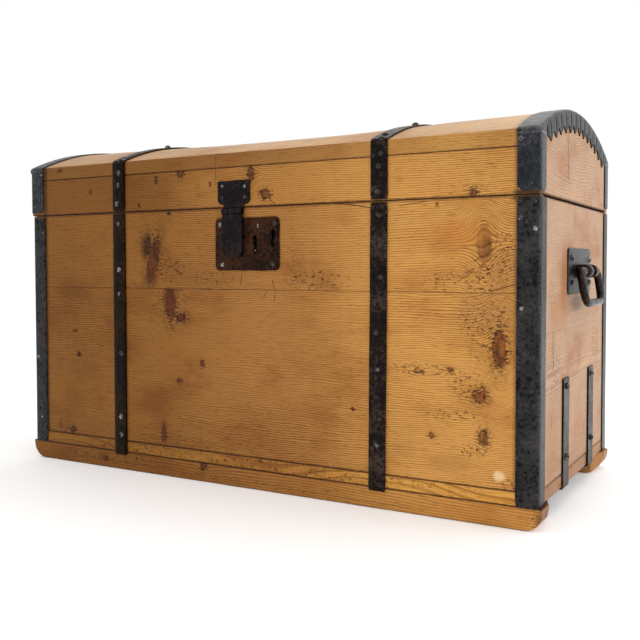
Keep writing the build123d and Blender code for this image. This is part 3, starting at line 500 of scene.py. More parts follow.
bailIron = iron("forged bail iron", "forged_iron", dark=(0.024, 0.018, 0.018), light=(0.12, 0.108, 0.102),
                rough=0.28, worn=0.6, pitted=0.5)
handleIron = iron("grey handle plate iron", dark=(0.045, 0.047, 0.047), light=(0.15, 0.158, 0.15), worn=0.8,
                  rusty=0.15)
# the nail heads' bright tone, taken at every worn place, is partly worn metal and partly a painted highlight
# for their glints; their faces that look left and right are darkened as painted shade
nailIron = iron("nail head iron", "nail_iron", dark=(0.040, 0.036, 0.033), light=(0.48, 0.465, 0.45), worn=1.0,
                pitted=0.3, rough=0.18, rusty=0.2, ends=0.4)
lockSteel = iron("lock steel", "lock_steel", dark=(0.06, 0.058, 0.055), light=(0.22, 0.21, 0.20), worn=0.9,
                 rough=0.35)
print("materials made")


def link(name, data):
    made = bpy.data.objects.new(name, data)
    bpy.context.scene.collection.objects.link(made)
    return made


def meshOf(name, points, faces):
    mesh = bpy.data.meshes.new(name)
    mesh.from_pydata([tuple(c * mm for c in p) for p in points], [], faces)
    return mesh


def baked(shape):
    bpy.context.view_layer.update()
    return bpy.data.meshes.new_from_object(shape.evaluated_get(bpy.context.evaluated_depsgraph_get()))


def finishPiece(name, points, faces, body, finish, nodes=(), bevel=0.0, sharp=38.0, change=None):
    mesh = meshOf(name, points, faces)
    work = bmesh.new()
    work.from_mesh(mesh)
    bmesh.ops.remove_doubles(work, verts=work.verts, dist=2e-6)
    bmesh.ops.recalc_face_normals(work, faces=work.faces)
    if bevel:
        steep = math.radians(50)
        rims = [e for e in work.edges if len(e.link_faces) == 2 and e.calc_face_angle() > steep]
        bmesh.ops.bevel(work, geom=rims, offset=bevel * mm, segments=2, profile=0.5, affect="EDGES",
                        clamp_overlap=True)
    if change:
        for vert in work.verts:
            vert.co = change(vert.co / mm) * mm
    work.to_mesh(mesh)
    work.free()
    mesh.shade_smooth()
    mesh.set_sharp_from_angle(angle=math.radians(sharp))
    mesh.materials.append(finish)
    piece = link(name, mesh)
    for node in nodes:
        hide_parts(node)
    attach(piece, body)
    return piece


def bridge(count, i, m):
    # faces between ring i and ring m of the same count
    for j in range(count):
        k = (j + 1) % count
        yield i * count + j, i * count + k, m * count + k, m * count + j


def loft(name, loops, body, finish, nodes=(), **more):
    count, last = len(loops[0]), len(loops) - 1
    faces = [face for i in range(last) for face in bridge(count, i, i + 1)]
    faces += [tuple(reversed(range(count))), tuple(range(last * count, (last + 1) * count))]
    return finishPiece(name, [p for loop in loops for p in loop], faces, body, finish, nodes, **more)


def prism(name, outline, x0, x1, body, finish):
    return loft(name, [[(x, y, z) for y, z in outline] for x in (x0, x1)], body, finish)


def arc(a, b, radius, start, stop, count):
    turns = [math.radians(turn) for turn in spread(start, stop, count)]
    return [(a + radius * math.cos(turn), b + radius * math.sin(turn)) for turn in turns]


def roundedLoop(a0, a1, b0, b1, radii, inset=0.0):
    # section of a board with its own rounding at each corner, from low a and low b round
    loop = []
    for radius, a, b, start in zip(radii, (a0, a1, a1, a0), (b0, b0, b1, b1), (180, 270, 0, 90)):
        radius = max(radius, inset + 0.05)
        ca = a + radius if a == a0 else a - radius
        cb = b + radius if b == b0 else b - radius
        loop += arc(ca, cb, radius - inset, start, start + 90, 3)
    return loop


boardLook = {"stations": 48, "uneven": 0.55}


def board(node, axis, finish, wear, radii=None, seed=0.0, lowered=0.0):
    # a board along one axis, its long edges rounded unevenly by wear
    low, high = span(node)
    high[2] -= lowered
    a, b = [n for n in range(3) if n != axis]
    start, end = low[axis], high[axis]
    inner = spread(start + wear, end - wear, boardLook["stations"])[1:-1]
    tips = [(start, wear), (start + wear * 0.3, wear * 0.3), (start + wear, 0.0)]
    spots = tips + [(place, 0.0) for place in inner]
    spots += [(start + end - place, inset) for place, inset in reversed(tips)]
    loops = []
    for place, inset in spots:
        uneven = [r * (1.0 + boardLook["uneven"] * hill(place * 0.021, seed + n * 3.1, r))
                  for n, r in enumerate(radii or (wear,) * 4)]
        loop = []
        for spot in roundedLoop(low[a], high[a], low[b], high[b], uneven, inset):
            point = list(spot)
            point.insert(axis, place)
            loop.append(tuple(point))
        loops.append(loop)
    return loft(node + "_wood", loops, "case", finish, [node])


def sheetPiece(name, at, us, vs, thick, body, finish, nodes=(), bevel=0.5, sharp=32.0, change=None):
    # sheet of iron laid over a shape; at(u, v, i, j) gives the point on the wood and the outward normal
    rows, columns = len(us), len(vs)
    size = rows * columns
    points, faces = [], []
    for layer in (0.0, thick):
        for i, u in enumerate(us):
            for j, v in enumerate(vs):
                point, normal = at(u, v, i, j)
                points.append(tuple(Vector(point) + Vector(normal) * layer))
    for i in range(rows - 1):
        for j in range(columns - 1):
            a, b = i * columns + j, i * columns + j + 1
            c, d = b + columns, a + columns
            faces += [(a, d, c, b), (a + size, b + size, c + size, d + size)]
            rims = ((j == 0, a, d), (j == columns - 2, c, b), (i == 0, b, a), (i == rows - 2, d, c))
            faces += [(first, second, second + size, first + size) for rim, first, second in rims if rim]
    return finishPiece(name, points, faces, body, finish, nodes, bevel=bevel, sharp=sharp, change=change)


def merge(name, node, pieces):
    # several made pieces on one body become one object
    context = {"active_object": pieces[0], "selected_editable_objects": pieces, "selected_objects": pieces}
    with bpy.context.temp_override(**context):
        bpy.ops.object.join()
    pieces[0].name = name
    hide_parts(node)


def outlinePlate(name, loops, thick, toWorld, body, finish, nodes=(), edge=0.6):
    # flat plate with any outline and holes, its rims rounded; loops are in the plate's own plane
    curve = bpy.data.curves.new(name, "CURVE")
    curve.dimensions = "2D"
    curve.fill_mode = "BOTH"
    curve.extrude = thick / 2 - edge
    curve.bevel_depth = edge
    curve.bevel_resolution = 2
    curve.offset = -edge
    for loop in loops:
        spline = curve.splines.new("POLY")
        spline.points.add(len(loop) - 1)
        for spot, (a, b) in zip(spline.points, loop):
            spot.co = (a, b, 0.0, 1.0)
        spline.use_cyclic_u = True
    holder = link(name + " outline", curve)
    flat = baked(holder)
    bpy.data.objects.remove(holder)
    points = [tuple(toWorld(v.co)) for v in flat.vertices]
    faces = [tuple(p.vertices) for p in flat.polygons]
    bpy.data.meshes.remove(flat)
    return finishPiece(name, points, faces, body, finish, nodes)


def roundRectangle(look, x, y, facets, wave):
    # outline of a cut plate, its sides a little uneven
    radius = look["round"]
    halfX, halfY = look["width"] / 2 - radius, look["height"] / 2 - radius
    loop = []
    for sx, sy, start in ((1, 1, 0), (-1, 1, 90), (-1, -1, 180), (1, -1, 270)):
        loop += arc(x + sx * halfX, y + sy * halfY, radius, start, start + 90, facets)
    fuller = []
    for (x0, y0), (x1, y1) in zip(loop, loop[1:] + loop[:1]):
        count = max(1, round(math.hypot(x1 - x0, y1 - y0) / 7.0))
        for step in range(count):
            a, b = x0 + (x1 - x0) * step / count, y0 + (y1 - y0) * step / count
            fuller.append((a + wave * hill(a * 0.09, b * 0.09, 1.3), b + wave * hill(a * 0.09, b * 0.09, 7.7)))
    return fuller


def bar(name, path, radiusAt, body, finish, sides=14):
    # round forged bar along a path
    loops = []
    for n, point in enumerate(path):
        way = (Vector(path[min(n + 1, len(path) - 1)]) - Vector(path[max(n - 1, 0)])).normalized()
        across = way.cross(Vector((1.0, 0.0, 0.03))).normalized()
        up = way.cross(across).normalized()
        radius = radiusAt(n / (len(path) - 1))
        loop = []
        for step in range(sides):
            turn = 2 * math.pi * step / sides
            size = radius * (1.0 + 0.03 * hill(n * 0.5, step * 0.7))
            loop.append(tuple(Vector(point) + across * (size * math.cos(turn)) + up * (size * math.sin(turn))))
        loops.append(loop)
    return loft(name, loops, body, finish)


def knuckle(name, look, start, end, body, finish):
    # straight barrel with a bore, along X
    outer, inner, sides = look["barrel"], look["bore"], 28
    profile = [(start + 0.5, outer), (end - 0.5, outer), (end, outer - 0.5), (end, inner), (start, inner),
               (start, outer - 0.5)]
    points = [(x, look["y"] + radius * math.cos(turn), look["z"] + radius * math.sin(turn))
              for turn in spread(0.0, 2 * math.pi, sides)[:-1] for x, radius in profile]
    faces = [face for step in range(sides) for face in bridge(len(profile), step, (step + 1) % sides)]
    return finishPiece(name, points, faces, body, finish)


caseLook = {"jointWear": 1.1, "tightJoint": 0.4, "seamWear": 1.3, "bottomWear": 1.4, "endWear": 1.0,
            "endJoint": 0.15, "endTop": 2.0}
pocket = {"x": (-46.2, 62.2), "y": (-230.0, -205.8), "z": (357.3, 427.7)}


def makeCase():
    look = caseLook
    wear, tight, end = look["jointWear"], look["tightJoint"], look["endWear"]
    for side, tag in fronts:
        upper, lower = (pineFrontUpper, pineFrontLower) if tag == "front" else (pineRear, pineRear)
        board(f"{tag}_board_upper", 0, upper, wear, (tight, tight, wear, wear), side * 5.0)
        board(f"{tag}_board_lower", 0, lower, wear, (wear, wear, tight, tight), side * 5.0)
    # the boards of the ends meet tightly, and the seam above them is worn open
    for side, tag in ends:
        tight, top = look["endJoint"], look["endTop"]
        board(f"end_board_{tag}_upper", 1, pineEnd, end, (tight, tight, top, top), 9.0, look["seamWear"])
        board(f"end_board_{tag}_lower", 1, pineEnd, end, (end, end, tight, tight), 9.0)
    for number in (1, 2, 3):
        board(f"bottom_board_{number}", 0, pineBottom, look["bottomWear"], seed=number * 2.0)
    cutPocket(bpy.data.objects["front_board_upper_wood"])


def cutPocket(wood):
    # the lock sits in a pocket in the upper front board
    points = [(x, y, z) for x in pocket["x"] for y in pocket["y"] for z in pocket["z"]]
    faces = [(0, 1, 3, 2), (4, 6, 7, 5), (0, 4, 5, 1), (2, 3, 7, 6), (0, 2, 6, 4), (1, 5, 7, 3)]
    tool = link("lock pocket", meshOf("lock pocket", points, faces))
    cut = wood.modifiers.new("pocket", "BOOLEAN")
    cut.operation = "DIFFERENCE"
    cut.object = tool
    cut.solver = "EXACT"
    carved = baked(wood)
    wood.modifiers.clear()
    wood.data = carved
    bpy.data.objects.remove(tool)


runnerLook = {"wear": 3.0, "sawn": 1.0, "endDepth": 36.0, "roundEnd": 26.0, "facets": 10, "narrowAt": 466.0}


def makeRunners():
    look = runnerLook
    for side, tag in fronts:
        node = f"runner_{tag}"
        low, high = span(node)
        radius = look["roundEnd"]
        spots = [(x, low[2]) for x in spread(low[0] + radius + 20, high[0] - radius - 20, 44)]
        for turn in spread(0.0, math.pi / 2, look["facets"]):
            back, up = radius * (1 - math.sin(turn)), radius * (1 - math.cos(turn))
            spots += [(low[0] + back, low[2] + up), (high[0] - back, low[2] + up)]
        sections = []
        for x, floor in sorted(spots):
            # past the case the runner narrows on its inner side
            past = min(1.0, max(0.0, (abs(x) - look["narrowAt"]) / 12.0))
            inner, outer = (high[1], low[1]) if tag == "front" else (low[1], high[1])
            inner += (outer - side * look["endDepth"] - inner) * past
            worn = [look["wear"] * (1 + 0.5 * hill(x * 0.02, n)) for n in range(2)] + [look["sawn"]] * 2
            flat = roundedLoop(min(inner, outer), max(inner, outer), floor, high[2], worn)
            sections.append([(x, y, z) for y, z in flat])
        loft(node + "_wood", sections, "case", pineRunner if tag == "front" else pineRear, [node])


def sagAt(x, y):
    hump = max(0.0, 1.0 - (y / chest["halfDepth"]) ** 2)
    for (x0, sunk0), (x1, sunk1) in zip(sag, sag[1:]):
        if x0 <= x <= x1:
            return (sunk0 + (sunk1 - sunk0) * (x - x0) / (x1 - x0)) * hump
    return 0.0


def domeZ(y, lift=0.0):
    return chest["domeCentre"] + math.sqrt((chest["domeRadius"] + lift) ** 2 - y * y)


def polar(turn, radius):
    return radius * math.sin(turn), chest["domeCentre"] + radius * math.cos(turn)


def sinkDome(point):
    # only what lies above the rails sinks
    point.z -= sagAt(point.x, point.y) * min(1.0, max(0.0, (point.z - 470.0) / 45.0))
    return point


lidLook = {"thick": 20.0, "railWear": 1.0, "endWear": 0.8, "endLift": 1.2, "endHalf": 200.8}
plankLook = {"gap": 0.35, "wear": 1.2, "facets": 14}


def makeLid():
    look, radius, lid, top = lidLook, chest["domeRadius"] - lidLook["thick"], chest["lid"], chest["railTop"]
    left, right = chest["lidLeft"], chest["lidRight"]
    stations = [(left, 0.9), (left + 0.9, 0.0), *((x, 0.0) for x in spread(-465, 461, 48)), (right - 0.9, 0.0),
                (right, 0.9)]
    for ySide, tag in fronts:
        sections = []
        for x, tip in stations:
            worn = look["railWear"] + 0.7 * hill(x * 0.02, ySide)
            face = chest["halfDepth"] - tip
            loop = [(201.0 + tip, lid + 0.6 + tip), (201.6, lid + tip), (face - worn, lid + tip),
                    (face - worn * 0.3, lid + worn * 0.3 + tip), (face, lid + worn + tip), (face, top - 0.9),
                    (face - 0.7, top + 0.1)]
            loop += [(y, chest["domeCentre"] + math.sqrt(radius ** 2 - y * y) - 0.1)
                     for y in (216.0, 211.0, 206.0, 201.0 + tip)]
            sections.append([(x, ySide * y, z) for y, z in loop])
        finish = pineRail if tag == "front" else pineRear
        loft(f"lid_{tag}_rail_wood", sections, "lid", finish, [f"lid_{tag}_rail"], change=sinkDome)
    half, wear = look["endHalf"], look["endWear"]
    outline = [(-half, lid + look["endLift"]), (half, lid + look["endLift"])]
    outline += [(y, chest["domeCentre"] + math.sqrt(radius ** 2 - y * y)) for y in spread(half, -half, 40)]
    middle = Vector((0.0, 505.0))
    for tag, x0 in (("left", left), ("right", right - look["thick"])):
        x1 = x0 + look["thick"]
        sections = []
        for x, inset in ((x0, wear), (x0 + wear, 0.0), (x1 - wear, 0.0), (x1, wear)):
            loop = []
            for y, z in outline:
                out = (Vector((y, z)) - middle).normalized() * inset
                loop.append((x, y - out.x, z - out.y))
            sections.append(loop)
        loft(f"lid_end_{tag}_wood", sections, "lid", pineLidEnd, [f"lid_end_{tag}"], change=sinkDome)
    edge = math.asin(chest["halfDepth"] / chest["domeRadius"])
    seams = spread(-edge, edge, 4)
    for number in range(4):
        makePlank(number, seams[number], seams[number + 1], radius)


def makePlank(number, start, stop, innerRadius):
    # one plank of the dome; the outer ones turn down to the rails
    first, last = number == 0, number == 3
    radius, half = chest["domeRadius"], plankLook["gap"] / chest["domeRadius"]
    face, railTop, shoulder = chest["halfDepth"], chest["railTop"], chest["shoulder"]
    a0 = start + (0.0 if first else half)
    a1 = stop - (0.0 if last else half)
    low = -math.asin(220.0 / innerRadius) if first else a0
    high = math.asin(220.0 / innerRadius) if last else a1
    down = [(face - 0.3, railTop + 0.6), (face, railTop + 1.2), (face, shoulder - 2.4)]
    left, right = chest["lidLeft"], chest["lidRight"]
    loops = []
    for x in (left, left + 1.0, *spread(-465, 465, 62), right - 1.0, right):
        tip = 1.0 if x in (left, right) else 0.0
        worn = plankLook["wear"] * (1 + 0.6 * hill(x * 0.02, number * 3.0)) / radius
        turns = spread(a0, a1, plankLook["facets"])
        turns[0] += worn * 1.6 if first else worn
        turns[-1] -= worn * 1.6 if last else worn
        loop = [(-y, z) for y, z in down] if first else [polar(a0, radius - 1.0)]
        loop += [polar(turn, radius - tip) for turn in turns]
        loop += down[::-1] if last else [polar(a1, radius - 1.0)]
        loop += [polar(turn, innerRadius + 0.3) for turn in spread(high, low, 8)]
        loops.append([(x, y, z) for y, z in loop])
    node = f"dome_plank_{number + 1}"
    piece = loft(node + "_wood", loops, "lid", pineDome, [node], change=sinkDome)
    if first or last:
        piece.data.materials.append(pineDomeEdge if first else pineRear)
        for polygon in piece.data.polygons:
            if abs(polygon.center.y) > 0.2192:
                polygon.material_index = 1


cornerLook = {"thick": 2.0, "flange": 32.0, "bend": 5.0, "wave": 0.55, "seamGap": 3.0, "clip": 1.2}
lidPlateLook = {"thick": 2.0, "flange": 30.0, "sideFlange": 26.0, "bend": 3.0, "wave": 0.4, "clip": 6.0,
                "low": 457.0, "over": 14.0}


def cornerPath(xEdge, yEdge, xSide, ySide, bend, flangeX, flangeY):
    # plan of the wood's corner from the end of the long side's flange to the end of the end's flange
    first, short = flangeX - bend, flangeY - bend
    second = first + bend * math.pi / 2

    def at(u):
        if u <= first:
            return (xEdge - xSide * (flangeX - u), yEdge, 0.0), (0.0, ySide, 0.0)
        if u >= second:
            return (xEdge, yEdge - ySide * (bend + u - second), 0.0), (xSide, 0.0, 0.0)
        turn = (u - first) / bend
        normal = (xSide * math.sin(turn), ySide * math.cos(turn), 0.0)
        return (xEdge - xSide * bend + normal[0] * bend, yEdge - ySide * bend + normal[1] * bend, 0.0), normal

    us = spread(0.0, first, 4) + spread(first, second, 6)[1:] + spread(second, second + short, 4)[1:]
    return at, us


def makeCornerIrons():
    look = cornerLook
    flange = look["flange"] - look["thick"]
    vs = spread(chest["bottom"], chest["seam"] - look["seamGap"], 60)
    for xSide, xTag in ends:
        for ySide, yTag in fronts:
            at, us = cornerPath(xSide * chest["halfLength"], ySide * chest["halfDepth"], xSide, ySide,
                                look["bend"], flange, flange)
            seed = xSide * 3.0 + ySide

            def place(u, v, i, j):
                way = {0: 1, len(us) - 1: -1}.get(i, 0)
                shift = way * look["wave"] * hill(v * 0.045, seed, u * 0.01)
                if j in (0, len(vs) - 1):
                    shift += way * look["clip"]
                (x, y, _), normal = at(u + shift)
                return (x, y, v + (0.5 * hill(u * 0.1, seed) if j == len(vs) - 1 else 0.0)), normal

            node = f"corner_iron_{yTag}_{xTag}"
            sheetPiece(node + "_sheet", place, us, vs, look["thick"], "case", cornerIron, [node])


def makeLidPlates():
    look = lidPlateLook
    for (xSide, xTag), edge in zip(ends, (chest["lidLeft"], chest["lidRight"])):
        for ySide, yTag in fronts:
            at, us = cornerPath(edge + xSide * 0.05, ySide * (chest["halfDepth"] + 0.05), xSide, ySide,
                                look["bend"], look["flange"], look["sideFlange"])
            total, count = us[-1], len(us)
            seed = xSide * 2.0 + ySide * 5.0

            def place(u, v, i, j):
                # one rim and a line near the other are wavy
                way = {0: 1, count - 1: -1}.get(i, 0)
                (x, y, _), normal = at(u + way * look["wave"] * hill(v * 3.0, seed, u * 0.01))
                clip = max(0.0, look["clip"] - u, look["clip"] - (total - u))
                low = look["low"] + clip + 0.5 * hill(u * 0.15, seed)
                top = min(domeZ(y) - 0.4, chest["shoulder"] + look["over"])
                return (x, y, low + (top - low) * v), normal

            more = [look["clip"] / 2, look["clip"]]
            us = sorted(set(round(u, 3) for u in us + more + [total - m for m in more]))
            node = f"lid_corner_{yTag}_{xTag}"
            sheetPiece(node + "_sheet", place, us, spread(0.0, 1.0, 14), look["thick"], "lid", lidPlateIron,
                       [node], change=sinkDome)


def makeBands():
    edges = chest["lidLeft"], chest["lidRight"]
    for (side, tag), edge in zip(ends, edges):
        makeBandStrip(side, tag, edge)
        makeBandTeeth(side, tag, edge)
    for side, tag in ends:
        name = f"dome_band_{tag}"
        merge(name + "_sheet", name, [bpy.data.objects[name + part] for part in ("_strip", "_teeth")])


def makeBandStrip(side, tag, edge):
    # the flat of the band over the dome, bent over the lid's outer edge and down its front and rear
    look = bandLook
    radius, bend, tab = chest["domeRadius"], look["bend"], look["tab"]
    flat, arcLength = look["width"] - bend, bend * math.pi / 2
    across = spread(0.0, flat, 6) + spread(flat, flat + arcLength, 4)[1:]
    across.append(across[-1] + look["slitStart"] - bend)
    edgeTurn = math.asin((chest["halfDepth"] + 1.5) / (radius + 2.0))
    drops = (tab, tab / 2, 1.5)
    stations = [(-1, d) for d in drops] + [(0, t) for t in spread(-edgeTurn, edgeTurn, 96)]
    stations += [(1, d) for d in drops[::-1]]

    def place(u, v, i, j):
        ySide, amount = stations[i]
        length = across[j]
        crease = 0.0 if ySide else look["crease"] * hill(i * 0.35, side * 2.0)
        if ySide:
            outY, outZ = ySide, 0.0
            y, z = ySide * (chest["halfDepth"] + 2.2), chest["shoulder"] - amount
        else:
            outY, outZ = math.sin(amount), math.cos(amount)
            y, z = polar(amount, radius)
        if length <= flat:
            lift = crease * 0.4 * (1 - length / flat)
            x = edge - side * (look["width"] - length)
            if length == 0.0:
                x += side * 0.5 * hill(i * 0.4, side * 9.0)
            return (x, y + outY * lift, z + outZ * lift), (0.0, outY, outZ)
        turn = min((length - flat) / bend, math.pi / 2)
        if length <= flat + arcLength + 0.001:
            down = bend * (1 - math.cos(turn))
            x = edge - side * bend + side * bend * math.sin(turn)
            normal = (side * math.sin(turn), outY * math.cos(turn), outZ * math.cos(turn))
            return (x, y - outY * down, z - outZ * down), normal
        down = bend + (length - flat - arcLength)
        return (edge, y - outY * down, z - outZ * down), (side, 0.0, 0.0)

    sheetPiece(f"dome_band_{tag}_strip", place, range(len(stations)), across, look["thick"], "lid", bandIron,
               bevel=0.4, change=sinkDome)


def makeBandTeeth(side, tag, edge):
    # snipped flange: a slit runs to each tip, and each panel between slits stands out in a pleat
    look = bandLook
    radius, pitch, half = chest["domeRadius"], bandPitch, look["teeth"] / 2
    depths, stations = look["depths"], look["stations"]
    gap = look["slit"] / 2 / radius
    points, faces = [], []
    for number in range(look["teeth"] + 1):
        # a panel spans from one slit to the next; the first and the last are half panels
        valley = (number - half) * pitch
        inside = 0 < number < look["teeth"]
        a0 = valley - pitch / 2 + gap if number > 0 else -half * pitch
        a1 = valley + pitch / 2 - gap if number < look["teeth"] else half * pitch
        base = len(points)
        length = 0.9 + 0.2 * rng.random()
        for layer in (0.0, look["thick"]):
            for k, turn in enumerate(spread(a0, a1, stations)):
                away = min(1.0, abs(turn - valley) / (pitch / 2))
                reach = look["valley"] + (look["tip"] - look["valley"]) * away ** 1.25 * length
                pleat = look["pleat"] * math.sin(math.pi * k / stations) if inside else 0.4
                pleat += 0.35 * (k / stations - 0.5)
                for d in range(depths + 1):
                    y, z = polar(turn, radius - (3.0 + (reach - 3.0) * d / depths))
                    rise = pleat * min(1.0, d / 2.0) * (1.0 - 0.5 * d / depths)
                    points.append((edge + side * (layer + rise + 0.02), y, z))
        size = (stations + 1) * (depths + 1)
        for k in range(stations):
            for d in range(depths):
                a = base + k * (depths + 1) + d
                b, c, e = a + 1, a + depths + 2, a + depths + 1
                faces += [(a, b, c, e), (a + size, e + size, c + size, b + size)]
                rims = ((k == 0, b, a), (k == stations - 1, e, c), (d == 0, a, e), (d == depths - 1, c, b))
                for rim, first, second in rims:
                    if rim:
                        faces.append((first, second, second + size, first + size))
    finishPiece(f"dome_band_{tag}_teeth", points, faces, "lid", bandIron, bevel=0.35, sharp=32.0,
                change=sinkDome)


strapLook = {"width": 27.0, "thick": 3.0, "bend": 5.0, "wave": 0.5, "low": 27.0, "lean": 0.008, "end": 66.0}
hingeLook = {"width": 25.0, "y": 227.3, "z": 451.4, "barrel": 6.0, "bore": 3.05, "leaf": 300.0, "gap": 0.4,
             "clear": 6.4, "tip": 15.0, "climb": 72.0}


def upright(y, zs):
    return [(y, z, (0.0, math.copysign(1.0, y), 0.0)) for z in zs]


def around(y, z, radius, turns):
    return [(y + radius * math.sin(turn), z + radius * math.cos(turn), (0.0, math.sin(turn), math.cos(turn)))
            for turn in turns]


def shoulderOf():
    # centre of the rounded shoulder under a strap, and where it meets the dome
    radius, bend = chest["domeRadius"], strapLook["bend"]
    y = chest["halfDepth"] - bend
    return y, chest["domeCentre"] + math.sqrt((radius - bend) ** 2 - y ** 2), math.asin(y / (radius - bend))


def strapAlong(name, route, centre, body, finish, nodes=(), change=None):
    width, wave = strapLook["width"], strapLook["wave"]

    def place(u, v, i, j):
        y, z, normal = route[i]
        edge = wave * hill(i * 0.33, centre * 0.01, j * 2.0) if j in (0, 3) else 0.0
        tip = 1.0 if i in (0, len(route) - 1) and j in (0, 3) else 0.0
        x = centre + v + edge - math.copysign(tip, v)
        if centre > 0 and normal[1] < -0.9:
            # the right strap leans a little, foot to the left
            x -= max(0.0, chest["seam"] - z) * strapLook["lean"]
        return (x, y, z), normal

    return sheetPiece(name, place, range(len(route)), (-width / 2, -width / 6, width / 6, width / 2),
                      strapLook["thick"], body, finish, nodes, bevel=0.7, change=change)


def makeStraps():
    face, radius, dome, bend = chest["halfDepth"], chest["domeRadius"], chest["domeCentre"], strapLook["bend"]
    shoulderY, shoulderZ, join = shoulderOf()
    caseRoute = upright(-face, spread(strapLook["low"], chest["seam"] - 2.0, 56))
    lidRoute = upright(-face, spread(chest["lid"] + 2.0, shoulderZ, 10)[:-1])
    lidRoute += around(-shoulderY, shoulderZ, bend, spread(-math.pi / 2, -join, 8))
    lidRoute += around(0.0, dome, radius, spread(-join, math.asin(strapLook["end"] / radius), 34)[1:])
    for centre, (_, tag), finish in zip(chest["strapPlaces"], ends, (leftStrapIron, strapIron)):
        node = f"case_strap_{tag}"
        strapAlong(node + "_iron", caseRoute, centre, "case", finish, [node])
        node = f"lid_strap_{tag}"
        strapAlong(node + "_iron", lidRoute, centre, "lid", finish, [node], sinkDome)
        makeHinge(tag, centre)


def neckOf(side):
    # section of the metal between a strap and its knuckle
    face, z = chest["halfDepth"], hingeLook["z"]
    far = z + side * (hingeLook["clear"] + 2.0)
    return [(face, far), (face + 3.0, far), (face + 3.6, z + side * 4.6), (face + 0.4, z + side * 1.6)]


def makeHinge(tag, centre):
    look, radius, dome, face = hingeLook, chest["domeRadius"], chest["domeCentre"], chest["halfDepth"]
    width, z = look["width"], look["z"]
    x0, x1 = centre - width / 2, centre + width / 2
    third = (width - 2 * look["gap"]) / 3
    route = upright(face, spread(z - look["leaf"], z - look["clear"] - 0.6, 30))
    pieces = [strapAlong(f"hinge_leaf_{tag}_strip", route, centre, "case", strapIron)]
    for number, (a, b) in enumerate(((x0, x0 + third), (x1 - third, x1))):
        pieces.append(knuckle(f"leaf_knuckle_{tag}_{number}", look, a, b, "case", strapIron))
        pieces.append(prism(f"leaf_neck_{tag}_{number}", neckOf(-1), a + 0.1, b - 0.1, "case", strapIron))
    merge(f"hinge_leaf_{tag}_iron", f"hinge_leaf_{tag}", pieces)

    # the strap climbs on to the end of the front strap, then lies on the dome and runs down the rear
    shoulderY, shoulderZ, join = shoulderOf()
    lapped = radius + strapLook["thick"] + 0.05
    tip, end, climb = (math.asin(y / radius) for y in (look["tip"], strapLook["end"], look["climb"]))
    route = around(0.0, dome, lapped, spread(tip, end, 12)) + around(0.0, dome, radius, spread(climb, join, 26))
    route += around(shoulderY, shoulderZ, strapLook["bend"], spread(join, math.pi / 2, 8)[1:])
    route += upright(face, spread(shoulderZ, z + look["clear"] + 0.6, 12)[1:])
    a, b = x0 + third + look["gap"], x1 - third - look["gap"]
    pieces = [strapAlong(f"hinge_strap_{tag}_strip", route, centre, "lid", strapIron, change=sinkDome),
              knuckle(f"strap_knuckle_{tag}", look, a, b, "lid", strapIron),
              prism(f"strap_neck_{tag}", neckOf(1), a + 0.1, b - 0.1, "lid", strapIron)]
    merge(f"hinge_strap_{tag}_iron", f"hinge_strap_{tag}", pieces)


endStrapLook = {"width": 33.0, "places": (-76.0, 91.0), "height": 160.0, "foot": 46.0, "bend": 2.5,
                "thick": 3.0}


def makeEndStraps():
    look, bottom = endStrapLook, chest["bottom"]
    for side, tag in ends:
        edge = side * chest["halfLength"]
        route = [(x, bottom, (0.0, 0.0, -1.0))
                 for x in spread(edge - side * look["foot"], edge - side * look["bend"], 6)]
        for turn in spread(0.0, math.pi / 2, 5)[1:]:
            route.append((edge - side * 0.05, bottom + 0.05, (side * math.sin(turn), 0.0, -math.cos(turn))))
        route += [(edge, z, (side, 0.0, 0.0)) for z in spread(bottom + 3.0, bottom + look["height"], 20)]
        pieces = []
        for number, middle in enumerate(look["places"]):
            def place(u, v, i, j):
                x, z, normal = route[i]
                return (x, v + (0.5 * hill(i * 0.4, number * 4.0, j) if j in (0, 3) else 0.0), z), normal

            half = look["width"] / 2
            across = spread(middle - half, middle + half, 3)
            pieces.append(sheetPiece(f"end_strap_{tag}_{number}", place, range(len(route)), across,
                                     look["thick"], "case", strapIron, bevel=0.6))
        merge(f"end_straps_{tag}_iron", f"end_straps_{tag}", pieces)


haspLook = {"x": -17.0, "y": -226.3, "z": 445.0, "plateWidth": 63.0, "plateHeight": 37.5, "plateLow": 456.8,
            "width": 39.0, "thick": 2.5, "strap": 3.0, "length": 73.0, "barrel": 5.0, "bore": 2.25,
            "tipRound": 6.5, "wave": 0.5, "gap": 0.4}
lockLook = {"x": 8.0, "z": 392.5, "width": 122.0, "height": 84.0, "thick": 2.5, "round": 8.0, "keyX": 25.0,
            "keyZ": 382.0, "keyRadius": 4.0, "keySlot": 4.2, "staple": (-20.5, -13.5),
            "stapleZ": (399.5, 421.0)}
# the ragged slot below the round keyhole, from its right side round, and the tear at the plate's edge
keySlot = [(2.4, 6.0), (4.6, 8.0), (3.6, 9.5), (2.4, 12.0), (4.4, 14.5), (4.0, 17.0), (1.6, 18.5), (2.0, 22.5),
           (-1.6, 24.5), (-5.6, 23.0), (-6.2, 19.5), (-3.2, 17.0), (-5.0, 13.5), (-6.2, 11.0), (-4.0, 9.0),
           (-2.4, 6.5)]
tear = [(55.0, 388.0), (58.8, 386.6), (60.0, 391.0), (58.6, 397.0), (61.4, 403.0), (61.0, 411.0),
        (58.8, 414.5), (55.4, 415.0), (54.2, 409.0), (55.8, 402.0), (53.4, 396.0)]


def frontPlane(look):
    # lays a plate's own plane on the front, its middle half its thickness out from the wood
    def toWorld(point):
        return point.x, -chest["halfDepth"] - look["thick"] / 2 - point.z, point.y
    return toWorld


